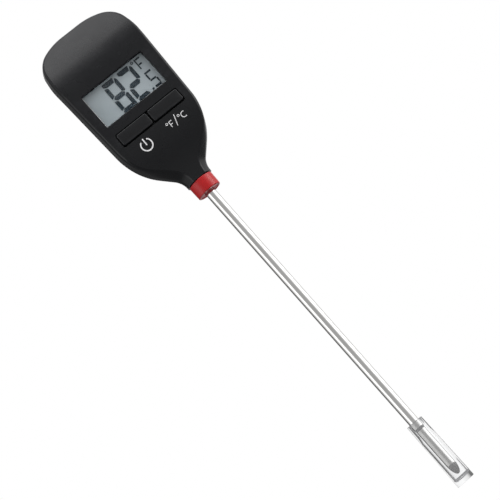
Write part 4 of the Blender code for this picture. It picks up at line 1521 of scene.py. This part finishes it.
@dataclass
class Key:
    """One keycap with its crowned top, flange and stem."""

    name: str
    body: str
    side: int
    node: str
    inner_x: float = 0.35 * MM
    outer_x: float = 13.6 * MM
    height: float = 4.7 * MM
    corner: float = 0.62 * MM
    centre_z: float = 32.45 * MM
    top_y: float = -9.2 * MM
    flange_y: float = -6.8 * MM
    flange_back_y: float = -6.1 * MM
    flange_inner_x: float = 0.18 * MM
    flange_margin: float = 0.6 * MM
    flange_corner: float = 0.8 * MM
    stem_radius: float = 1.2 * MM
    stem_sink: float = 0.3 * MM
    stem_round: float = 0.15 * MM
    stem_end_y: float = -5.3 * MM
    switch_x: float = 7.0 * MM
    crown: float = 0.09 * MM
    edge: float = 0.35 * MM

    def build_cap(self) -> bpy.types.Object:
        """Build the keycap.

        Returns:
            The keycap.
        """
        centre_x = self.side * (self.inner_x + self.outer_x) / 2.0
        half_width = (self.outer_x - self.inner_x) / 2.0
        cap = RoundedBox(centre_x, self.centre_z, half_width, self.height / 2.0, self.corner)
        flange_outer_x = self.outer_x + self.flange_margin
        low_x, high_x = sorted((self.side * self.flange_inner_x, self.side * flange_outer_x))
        flange = RoundedBox((low_x + high_x) / 2.0, self.centre_z, (high_x - low_x) / 2.0,
                            self.height / 2.0 + self.flange_margin, self.flange_corner)
        reach = self.height / 2.0 - self.edge
        loops = []
        for share in (0.96, 0.75, 0.5, 0.25):
            fall = self.crown * (1.0 - share) ** 2
            loops.append(cap.loop(self.edge + reach * share, self.top_y + fall))
        for step in range(6):
            angle = math.radians(18.0) * step
            loops.append(cap.loop(self.edge * (1.0 - math.sin(angle)),
                                  self.top_y + self.crown + self.edge * (1.0 - math.cos(angle))))
        loops += [cap.loop(0.0, self.flange_y), flange.loop(0.0, self.flange_y),
                  flange.loop(0.0, self.flange_back_y)]
        made = object_of(self.name, loft(loops))
        stem_start = self.flange_y + self.stem_sink
        stem = fillet([(0.0, stem_start, 0.0), (self.stem_radius, stem_start, 0.0),
                       (self.stem_radius, self.stem_end_y, self.stem_round), (0.0, self.stem_end_y, 0.0)])
        place = (self.side * self.switch_x, 0.0, self.centre_z)
        return Carving(made).join(lathe(stem, 32, Axis.BACK, place)).settle()

    def build(self, shop: Workshop) -> None:
        """Build and dress the keycap and what it presses.

        Args:
            shop: the workshop.
        """
        shop.fit(self.build_cap(), Finishes.KEYCAP, self.body, [self.node])
        switch = self.node.replace("button", "switch")
        shop.dress(Finishes.RESIN, switch)
        shop.dress(Finishes.FRAME, switch + "_plunger")


@dataclass
class Legends:
    """White printed marks below the keys: a power sign and the two temperature units."""

    form: HeadForm
    ink: float = 0.02 * MM
    slice_height: float = 0.25 * MM
    power: tuple[float, float] = (-7.26 * MM, 25.5 * MM)
    power_radius: float = 2.35 * MM
    power_stroke: float = 0.45 * MM
    power_bar: tuple[float, float] = (-0.15 * MM, 2.6 * MM)
    power_half: float = 146.0
    thin: float = 0.26 * MM
    degrees: tuple[tuple[float, float], ...] = ((2.8 * MM, 26.6 * MM), (8.0 * MM, 26.6 * MM))
    degree_radius: float = 0.47 * MM
    slash: tuple[tuple[float, float], ...] = ((5.65 * MM, 23.95 * MM), (7.02 * MM, 27.95 * MM))
    letter_f: tuple[float, float] = (3.82 * MM, 24.65 * MM)
    letter_f_middle: float = 1.05 * MM
    letter_f_reach: tuple[float, float] = (1.25 * MM, 1.0 * MM)
    letter_c: tuple[float, float] = (9.95 * MM, 25.78 * MM)
    letter_c_half: float = 122.0
    letter_height: float = 2.35 * MM

    def _lay(self, made: bpy.types.Object) -> bpy.types.Object:
        """Lay a flat mesh in the XZ plane onto the front face, as a thin layer.

        Args:
            made: the object with the flat mesh.

        Returns:
            The same object.
        """
        bm = bmesh.new()
        bm.from_mesh(made.data)
        low = min(v.co.z for v in bm.verts)
        high = max(v.co.z for v in bm.verts)
        cuts = math.ceil((high - low) / self.slice_height)
        for cut in range(1, cuts):
            parts = list(bm.verts) + list(bm.edges) + list(bm.faces)
            bmesh.ops.bisect_plane(bm, geom=parts, plane_co=(0.0, 0.0, mix(low, high, cut / cuts)),
                                   plane_no=(0.0, 0.0, 1.0))
        grown = bmesh.ops.extrude_face_region(bm, geom=list(bm.faces))
        outer = {item for item in grown["geom"] if isinstance(item, bmesh.types.BMVert)}
        for vert in bm.verts:
            vert.co.y = self.form.front_at(vert.co.z) + (-self.ink if vert in outer else 0.5 * self.ink)
        bmesh.ops.recalc_face_normals(bm, faces=bm.faces)
        bm.to_mesh(made.data)
        bm.free()
        made.data.set_sharp_from_angle(angle=math.radians(40.0))
        return made

    @staticmethod
    def _arc(bm: bmesh.types.BMesh, centre: tuple[float, float], outer: float, stroke: float, half: float,
             middle: float) -> None:
        """Add part of a flat ring.

        Args:
            bm: the mesh that it is added to.
            centre: (x, z) of its centre.
            outer: its outer radius.
            stroke: its width.
            half: half the angle that it spans, in degrees.
            middle: the angle of its middle, in degrees from +X towards +Z.
        """
        outline = sector(outer - stroke, outer, middle, half, centre[1], 40)
        ring = [bm.verts.new((x + centre[0], 0.0, z)) for x, z in outline]
        count = len(ring)
        for i in range(count // 2 - 1):
            bm.faces.new((ring[i], ring[i + 1], ring[count - 2 - i], ring[count - 1 - i]))

    @staticmethod
    def _bar(bm: bmesh.types.BMesh, start: tuple[float, float], end: tuple[float, float],
             stroke: float) -> None:
        """Add a flat bar with rounded ends.

        Args:
            bm: the mesh that it is added to.
            start: (x, z) of one end.
            end: (x, z) of the other end.
            stroke: its width.
        """
        along = (Vector(end) - Vector(start)).normalized() * stroke / 2.0
        aside = Vector((-along.y, along.x))
        corners = [Vector(start) - aside, Vector(end) - aside, Vector(end) + aside, Vector(start) + aside]
        rounded = fillet([(*corner, 0.45 * stroke) for corner in corners], closed=True, steps=3)
        bm.faces.new([bm.verts.new((x, 0.0, z)) for x, z in rounded])

    def build_power(self) -> bpy.types.Object:
        """Build the ring with its gap and the bar in it.

        Returns:
            The power sign.
        """
        bm = bmesh.new()
        x, z = self.power
        low, high = self.power_bar
        self._arc(bm, self.power, self.power_radius, self.power_stroke, self.power_half, -90.0)
        self._bar(bm, (x, z + low), (x, z + high), self.power_stroke)
        return self._lay(object_of("power_legend", bm))

    def build_units(self) -> bpy.types.Object:
        """Build the two degree rings, the letters and the slash from plain strokes.

        Returns:
            The unit signs.
        """
        bm = bmesh.new()
        for place in self.degrees:
            self._arc(bm, place, self.degree_radius, 0.7 * self.thin, 180.0, 0.0)
        self._bar(bm, *self.slash, self.thin)
        self._arc(bm, self.letter_c, self.letter_height / 2.0, self.thin, self.letter_c_half, 180.0)
        x, z = self.letter_f
        top = z + self.letter_height
        arms = (top - self.thin / 2.0, z + self.letter_f_middle)
        self._bar(bm, (x, z), (x, top), self.thin)
        for height, reach in zip(arms, self.letter_f_reach):
            self._bar(bm, (x + self.thin / 2.0, height), (x + reach, height), self.thin)
        bmesh.ops.remove_doubles(bm, verts=bm.verts, dist=0.001 * MM)
        return self._lay(object_of("unit_legend", bm))

    def build(self, shop: Workshop) -> None:
        """Build and dress the legends."""
        shop.fit(self.build_power(), Finishes.INK)
        shop.fit(self.build_units(), Finishes.INK)


# ---------------------------------------------------------------- neck, stem and sleeve

@dataclass
class Neck:
    """Red collar at the foot of the head."""

    recess_radius: float = 3.7 * MM
    recess_depth: float = 0.15 * MM
    floor: float = 1.2 * MM
    bore: float = 2.06 * MM
    socket: float = 4.3 * MM
    base_radius: float = 4.75 * MM
    recess_slope: float = 0.3 * MM
    bore_round: float = 0.05 * MM

    def build(self, shop: Workshop) -> None:
        """Build and dress the collar, and dress the pieces that it hides.

        Args:
            shop: the workshop.
        """
        low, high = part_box("neck_collar")
        section = fillet([
            (self.bore, self.recess_depth, self.bore_round),
            (self.recess_radius, self.recess_depth, 0.1 * MM),
            (self.recess_radius + self.recess_slope, low.z, 0.12 * MM), (self.base_radius, low.z, 0.3 * MM),
            (high.x, high.z, 0.16 * MM), (self.socket, high.z, self.bore_round),
            (self.socket, self.floor, self.bore_round), (self.bore, self.floor, self.bore_round)],
            closed=True)
        collar = object_of("collar_ring", lathe(section, 128, closed=True))
        shop.fit(collar, Finishes.COLLAR, "root", ["neck_collar"])
        shop.dress(Finishes.NICKEL, "stem_flange")
        shop.dress(Finishes.RUBBER, "stem_seal")


@dataclass
class Stem:
    """Polished steel tube with a narrower, rounded tip, and the sensor inside it."""

    bore: float = 1.6 * MM
    tip_bore: float = 1.35 * MM
    tip_radius: float = 1.75 * MM
    step_z: float = -110.2 * MM
    step_length: float = 1.0 * MM
    step_round: float = 0.5 * MM
    dome_z: float = -126.2 * MM
    dome_steps: int = 16
    bore_tip_length: float = 0.6 * MM

    def build(self, shop: Workshop) -> None:
        """Build and dress the stem and dress the sensor's pieces.

        Args:
            shop: the workshop.
        """
        low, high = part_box("stem_tube")
        outside = fillet([
            (self.bore, high.z, 0.0), (high.x, high.z, 0.12 * MM), (high.x, self.step_z, self.step_round),
            (self.tip_radius, self.step_z - self.step_length, self.step_round),
            (self.tip_radius, self.dome_z, 0.0)])
        dome = low.z - self.dome_z
        for step in range(1, self.dome_steps + 1):
            angle = math.radians(90.0) * step / self.dome_steps
            outside.append((self.tip_radius * math.cos(angle), self.dome_z + dome * math.sin(angle)))
        bore_end = self.dome_z + 0.5 * MM
        inside = [(0.0, bore_end - self.bore_tip_length), (self.tip_bore, bore_end),
                  (self.tip_bore, self.step_z + 0.2 * MM), (self.bore, self.step_z + 1.2 * MM)]
        stem = object_of("probe_stem", lathe(inside + outside, 96))
        shop.fit(stem, Finishes.STEEL, "root", ["stem_tube"])
        shop.dress(Finishes.BEAD, "thermistor_bead")
        shop.dress(Finishes.LEAD_RED, "sensor_lead_left")
        shop.dress(Finishes.LEAD_BLACK, "sensor_lead_right")
        shop.dress(Finishes.TUBE, "lead_insulator")


@dataclass
class TipSleeve:
    """Clear sleeve that slides off the tip."""

    mouth_radius: float = 3.2 * MM
    grip_bore: float = 2.3 * MM
    bore: float = 2.65 * MM
    grip_length: float = 5.0 * MM
    grip_taper: float = 2.4 * MM
    grip_round: float = 1.0 * MM
    floor: float = 1.5 * MM
    floor_round: float = 2.2 * MM
    dimple_radius: float = 0.6 * MM
    dimple_depth: float = 0.12 * MM

    def build(self, shop: Workshop) -> None:
        """Build and dress the sleeve.

        Args:
            shop: the workshop.
        """
        low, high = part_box("tip_sleeve")
        grip_end = high.z - self.grip_length
        floor_z, dimple_z = low.z + self.floor, low.z + self.dimple_depth
        section = fillet([
            (0.0, floor_z, 0.0), (self.bore, floor_z, self.floor_round),
            (self.bore, grip_end - self.grip_taper, self.grip_round),
            (self.grip_bore, grip_end, self.grip_round), (self.grip_bore, high.z, 0.15 * MM),
            (self.mouth_radius, high.z, 0.2 * MM), (high.x, low.z, 0.3 * MM),
            (self.dimple_radius + 0.1 * MM, low.z, 0.1 * MM), (self.dimple_radius, dimple_z, 0.1 * MM),
            (0.0, dimple_z, 0.0)])
        sleeve = object_of("clear_sleeve", lathe(section, 96))
        shop.fit(sleeve, Finishes.SLEEVE, "sleeve", ["tip_sleeve"])


# ---------------------------------------------------------------- back: battery door and screws

@dataclass
class BatteryBay:
    """Coin-slot door, its gasket, and the cell behind it."""

    centre_z: float
    lug_radius: float
    radius: float = 10.1 * MM
    boss: float = 8.4 * MM
    cup: float = 7.0 * MM
    face_y: float = 6.45 * MM
    flange_y: float = 5.9 * MM
    boss_y: float = 4.35 * MM
    lug_y: float = 3.1 * MM
    lug_root: float = 7.6 * MM
    lug_height: float = 0.6 * MM
    lug_half: float = 16.0
    rim_width: float = 1.2 * MM
    face_sink: float = 0.15 * MM
    slot_half: float = 6.5 * MM
    slot_width: float = 1.8 * MM
    slot_depth: float = 1.1 * MM
    slot_lip: float = 0.15 * MM
    pointer_inset: float = 1.75 * MM
    pointer_length: float = 1.4 * MM
    pointer_half: float = 0.8 * MM
    pointer_depth: float = 0.35 * MM
    gasket_gap: float = 0.5 * MM
    gasket_round: float = 0.12 * MM

    def _cut_slot(self, work: Carving) -> None:
        """Cut the coin slot with its rounded lip.

        Args:
            work: the door.
        """
        slot = RoundedBox(0.0, self.centre_z, self.slot_half, self.slot_width / 2.0, self.slot_width / 2.2)
        face, lip = self.face_y - self.face_sink, self.slot_lip
        floor = face - self.slot_depth
        loops = [slot.loop(0.1 * MM, floor), slot.loop(0.0, floor + 0.1 * MM)]
        for step in range(5):
            angle = math.radians(20.0) * step
            loops.append(slot.loop(-lip * (1.0 - math.cos(angle)), face - lip * (1.0 - math.sin(angle))))
        loops.append(slot.loop(-lip, self.face_y + OVERRUN))
        work.cut(loft(loops))

    def build_door(self) -> bpy.types.Object:
        """Build the door with its lugs, coin slot and pointer.

        Returns:
            The door.
        """
        face = self.face_y - self.face_sink
        rim = self.radius - self.rim_width
        profile = fillet([
            (0.0, self.boss_y, 0.0), (self.cup, self.boss_y, 0.2 * MM), (self.cup, self.lug_y, 0.1 * MM),
            (self.boss, self.lug_y, 0.2 * MM), (self.boss, self.flange_y, 0.1 * MM),
            (self.radius, self.flange_y, 0.1 * MM), (self.radius, self.face_y, 0.22 * MM),
            (rim, self.face_y, 0.1 * MM), (rim - self.face_sink, face, 0.1 * MM), (0.0, face, 0.0)], steps=4)
        work = Carving(object_of("battery_door", lathe(profile, 96, Axis.BACK, (0.0, 0.0, self.centre_z))))
        for middle in (0.0, 180.0):
            outline = sector(self.lug_root, self.lug_radius, middle, self.lug_half, self.centre_z)
            work.join(plate(outline, self.lug_y, self.lug_y + self.lug_height))
        self._cut_slot(work)
        tip = self.centre_z - self.radius + self.pointer_inset
        base = tip + self.pointer_length
        pointer = [(0.0, tip), (self.pointer_half, base), (-self.pointer_half, base)]
        outline = fillet([(x, z, 0.12 * MM) for x, z in pointer], closed=True, steps=3)
        work.cut(plate(outline, self.face_y - self.pointer_depth, self.face_y + OVERRUN))
        return work.settle()

    def build_gasket(self) -> bpy.types.Object:
        """Build the flat ring below the door's flange.

        Returns:
            The gasket.
        """
        low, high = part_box("battery_cover_gasket")
        inner = self.boss + self.gasket_gap
        corners = [(inner, low.y), (high.x, low.y), (high.x, high.y), (inner, high.y)]
        section = fillet([(*corner, self.gasket_round) for corner in corners], closed=True)
        return object_of("door_gasket",
                         lathe(section, 96, Axis.BACK, (0.0, 0.0, self.centre_z), closed=True))

    def build(self, shop: Workshop) -> None:
        """Build and dress the bay.

        Args:
            shop: the workshop.
        """
        shop.fit(self.build_door(), Finishes.HOUSING, "cover", ["battery_cover"])
        shop.fit(self.build_gasket(), Finishes.RUBBER, "root", ["battery_cover_gasket"])
        shop.dress(Finishes.NICKEL, "battery_cell", "battery_contact_negative", "battery_contact_positive")
        shop.dress(Finishes.FRAME, "battery_holder")


@dataclass
class CaseScrews:
    """Four pan-head screws with cross recesses."""

    places: tuple[ScrewPlace, ...]
    head_radius: float = 1.75 * MM
    head_y: float = 3.6 * MM
    top_y: float = 4.8 * MM
    shank: float = 0.85 * MM
    end_y: float = -4.3 * MM
    pitch: float = 0.55 * MM
    thread: float = 0.12 * MM
    point_length: float = 0.5 * MM
    thread_start: float = 1.2 * MM
    thread_end: float = 1.6 * MM
    rim_height: float = 0.35 * MM
    crown_share: float = 0.55
    wing: tuple[float, float] = (1.05 * MM, 0.24 * MM)
    wing_depth: float = 0.75 * MM
    wing_taper: float = 0.16 * MM

    def _profile(self) -> Profile:
        """Trace the screw's profile, with its thread as plain ridges.

        Returns:
            The profile's points.
        """
        points = [(0.0, self.end_y, 0.0), (self.shank * 0.5, self.end_y + self.point_length, 0.0)]
        root = self.shank - self.thread
        height = self.end_y + self.thread_start
        while height < self.head_y - self.thread_end:
            points.append((root, height, 0.0))
            points.append((self.shank, height + self.pitch / 2.0, 0.0))
            height += self.pitch
        points += [(root, height, 0.0), (root, self.head_y, 0.1 * MM),
                   (self.head_radius, self.head_y, 0.1 * MM),
                   (self.head_radius, self.top_y - self.rim_height, 0.4 * MM),
                   (self.head_radius * self.crown_share, self.top_y, 0.6 * MM), (0.0, self.top_y, 0.0)]
        return fillet(points, steps=5)

    def build(self, shop: Workshop) -> None:
        """Build and dress the screws.

        Args:
            shop: the workshop.
        """
        for place in self.places:
            blank = lathe(self._profile(), 48, Axis.BACK, (place.x, 0.0, place.z))
            work = Carving(object_of("screw_" + place.name, blank))
            for wide, tall in (self.wing, self.wing[::-1]):
                wing = RoundedBox(place.x, place.z, wide, tall, 0.1 * MM)
                work.cut(loft([wing.loop(self.wing_taper, self.top_y - self.wing_depth),
                               wing.loop(0.0, self.top_y - 0.1 * MM), wing.loop(0.0, self.top_y + 0.5 * MM)]))
            shop.fit(work.settle(), Finishes.NICKEL, "root", ["case_screw_" + place.name])


@dataclass
class Electronics:
    """Circuit board, its covered chip and small components."""

    chip_size: tuple[float, float, float] = (1.6 * MM, 0.5 * MM, 0.8 * MM)
    bevel: float = 0.08 * MM
    places: tuple[tuple[float, float], ...] = (
        (-11.5 * MM, 57.0 * MM), (-11.5 * MM, 30.5 * MM), (-11.5 * MM, 33.0 * MM), (11.5 * MM, 30.5 * MM),
        (11.5 * MM, 33.0 * MM), (0.0, 30.0 * MM), (0.0, 33.0 * MM), (11.5 * MM, 57.0 * MM))

    def _component(self, x: float, z: float) -> bmesh.types.BMesh:
        """Build one small component on the back of the board.

        Args:
            x: its place across the board.
            z: its height.

        Returns:
            The component's mesh.
        """
        _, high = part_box("circuit_board")
        width, depth, height = self.chip_size
        shape = RoundedBox(x, z, width / 2.0, height / 2.0, self.bevel)
        return loft([shape.loop(0.0, high.y), shape.loop(0.0, high.y + depth - self.bevel),
                     shape.loop(self.bevel, high.y + depth)])

    def build(self, shop: Workshop) -> None:
        """Build and dress the components, and dress the board.

        Args:
            shop: the workshop.
        """
        components = gathered(self._component(x, z) for x, z in self.places)
        shop.fit(object_of("board_components", components), Finishes.FRAME)
        shop.dress(Finishes.BOARD, "circuit_board")
        shop.dress(Finishes.RESIN, "chip_blob")


# ---------------------------------------------------------------- stage

@dataclass(frozen=True)
class LightBand:
    """Brightness of the studio in one direction, as a turn from the front towards +X."""

    turn: float
    brightness: float


@dataclass(frozen=True)
class Softbox:
    """A square lamp that faces the head."""

    name: str
    place: Point
    size: float
    power: float


@dataclass
class Studio:
    """Pale floor, soft surrounding light and the camera."""

    floor_z: float = -190.0 * MM
    floor_half: float = 0.7
    floor_shade: float = 0.26
    bands: tuple[LightBand, ...] = (
        LightBand(-180.0, 0.8), LightBand(-168.0, 0.15), LightBand(-120.0, 0.12),
        LightBand(-106.0, 0.78), LightBand(-46.0, 0.75), LightBand(-29.0, 0.48),
        LightBand(20.0, 0.5), LightBand(50.0, 1.6), LightBand(88.0, 2.0),
        LightBand(104.0, 0.8), LightBand(165.0, 1.0), LightBand(180.0, 0.8))
    above_range: tuple[float, float] = (0.5, 0.95)
    above_colour: Colour = (0.45, 0.45, 0.475)
    softboxes: tuple[Softbox, ...] = (
        Softbox("top_softbox", (0.1, -0.35, 0.9), 0.6, 3.2),
        Softbox("right_softbox", (0.9, -0.35, 0.15), 0.45, 2.0),
        Softbox("left_softbox", (-0.9, -0.4, 0.1), 0.6, 1.3))
    lamp_target: Point = (0.0, 0.0, 20.0 * MM)
    azimuth: float = -10.0
    reach: float = 540.0 * MM
    eye_z: float = -118.0 * MM
    aim: Point = (-3.13 * MM, 0.0, -25.36 * MM)
    lens: float = 112.37
    sensor: float = 36.0
    nearest: float = 0.01
    stem_slope: float = -48.5
    stem_low: Point = (0.0, 0.0, -100.0 * MM)

    def build_floor(self) -> None:
        """Lay the pale floor, which looks white and lights the object only faintly."""
        bm = bmesh.new()
        bmesh.ops.create_grid(bm, x_segments=8, y_segments=8, size=self.floor_half)
        floor = object_of("studio_floor", bm)
        floor.location = (0.0, 0.0, self.floor_z)
        material, sketch, shader = open_material("floor_white")
        shader.inputs["Base Color"].default_value = (*(self.floor_shade,) * 3, 1.0)
        shader.inputs["Roughness"].default_value = 0.9
        shader.inputs["Specular IOR Level"].default_value = 0.1
        sketch.sort_rays("Is Camera Ray", shader, sketch.add("Emission"), "Material Output")
        floor.data.materials.append(material)

    def build_world(self) -> None:
        """Surround the object with soft bands of light, and show plain white behind it."""
        world = bpy.data.worlds.new("studio_world")
        bpy.context.scene.world = world
        world.use_nodes = True
        sketch = NodeSketch(world.node_tree)
        shown = world.node_tree.nodes["Background"]
        shown.inputs["Color"].default_value = (1.0, 1.0, 1.0, 1.0)
        way = sketch.split(sketch.add("TexCoord").outputs["Generated"])
        away = sketch.math('MULTIPLY', way.outputs["Y"], -1.0)
        turn = sketch.math('ARCTAN2', way.outputs["X"], away)
        ramp = sketch.add("ValToRGB")
        sketch.feed(ramp.inputs[0], sketch.remap(turn, -math.pi, math.pi, 0.0, 1.0))
        stops = ramp.color_ramp.elements
        top = max(band.brightness for band in self.bands)
        while len(stops) < len(self.bands):
            stops.new(0.5)
        for stop, band in zip(stops, self.bands):
            stop.position = (band.turn + 180.0) / 360.0
            stop.color = (*(band.brightness / top,) * 3, 1.0)
        above = sketch.remap(way.outputs["Z"], *self.above_range, 0.0, 1.0)
        level = sketch.blend(above, ramp.outputs[0], (*self.above_colour, 1.0))
        glow = sketch.add("Background")
        glow.inputs["Strength"].default_value = top
        sketch.feed(glow.inputs["Color"], level)
        sketch.sort_rays("Is Camera Ray", glow, shown, "World Output")

    def hang(self, box: Softbox) -> None:
        """Hang a softbox.

        Args:
            box: the softbox.
        """
        lamp = bpy.data.lights.new(box.name, 'AREA')
        lamp.shape = 'SQUARE'
        lamp.size = box.size
        lamp.energy = box.power
        holder = bpy.data.objects.new(box.name, lamp)
        holder.location = box.place
        holder.rotation_mode = 'QUATERNION'
        holder.rotation_quaternion = (Vector(box.place) - Vector(self.lamp_target)).to_track_quat('Z', 'Y')
        # the clear pieces let the lamps through to what they cover, so none is seen through them
        holder.visible_transmission = False
        bpy.context.scene.collection.objects.link(holder)

    def build_camera(self) -> None:
        """Place the camera so that the stem runs down to the right."""
        turn = math.radians(self.azimuth)
        eye = Vector((self.reach * math.sin(turn), -self.reach * math.cos(turn), self.eye_z))
        ahead = (Vector(self.aim) - eye).normalized()
        level = ahead.cross(Vector((0.0, 0.0, 1.0))).normalized()
        upright = level.cross(ahead)

        def seen(point: Vector) -> Vector:
            """Return where a level camera sees a point."""
            way = point - eye
            return Vector((way.dot(level), way.dot(upright))) / way.dot(ahead)

        stem = seen(Vector(self.stem_low)) - seen(Vector((0.0, 0.0, 0.0)))
        roll = math.radians(self.stem_slope) - math.atan2(stem.y, stem.x)
        right = math.cos(roll) * level - math.sin(roll) * upright
        up = math.sin(roll) * level + math.cos(roll) * upright
        data = bpy.data.cameras.new("studio_camera")
        data.lens = self.lens
        data.sensor_width = self.sensor
        data.clip_start = self.nearest
        camera = bpy.data.objects.new("studio_camera", data)
        camera.matrix_world = Matrix.Translation(eye) @ Matrix((right, up, -ahead)).transposed().to_4x4()
        bpy.context.scene.collection.objects.link(camera)
        bpy.context.scene.camera = camera

    def build(self) -> None:
        """Set up the whole stage."""
        self.build_floor()
        self.build_world()
        for box in self.softboxes:
            self.hang(box)
        self.build_camera()
        view = bpy.context.scene.view_settings
        view.view_transform = 'Standard'
        view.look = 'None'
        LOG.info("stage: floor, world, %d softboxes and camera", len(self.softboxes))


def main() -> None:
    """Build the probe round its frame."""
    logging.basicConfig(level=logging.INFO, format="%(name)s %(message)s")
    shop = Workshop(Finishes())
    form = HeadForm()
    housing = Housing(form)
    sections: Iterable[Section] = (
        housing, Display(housing.window), Key("power_keycap", "power_key", -1, "power_button"),
        Key("unit_keycap", "unit_key", 1, "unit_button"), Legends(form), Neck(), Stem(), TipSleeve(),
        BatteryBay(housing.door_z, housing.lug_radius), CaseScrews(housing.screws), Electronics())
    for section in sections:
        section.build(shop)
    Studio().build()


if __name__ == "__main__":
    main()
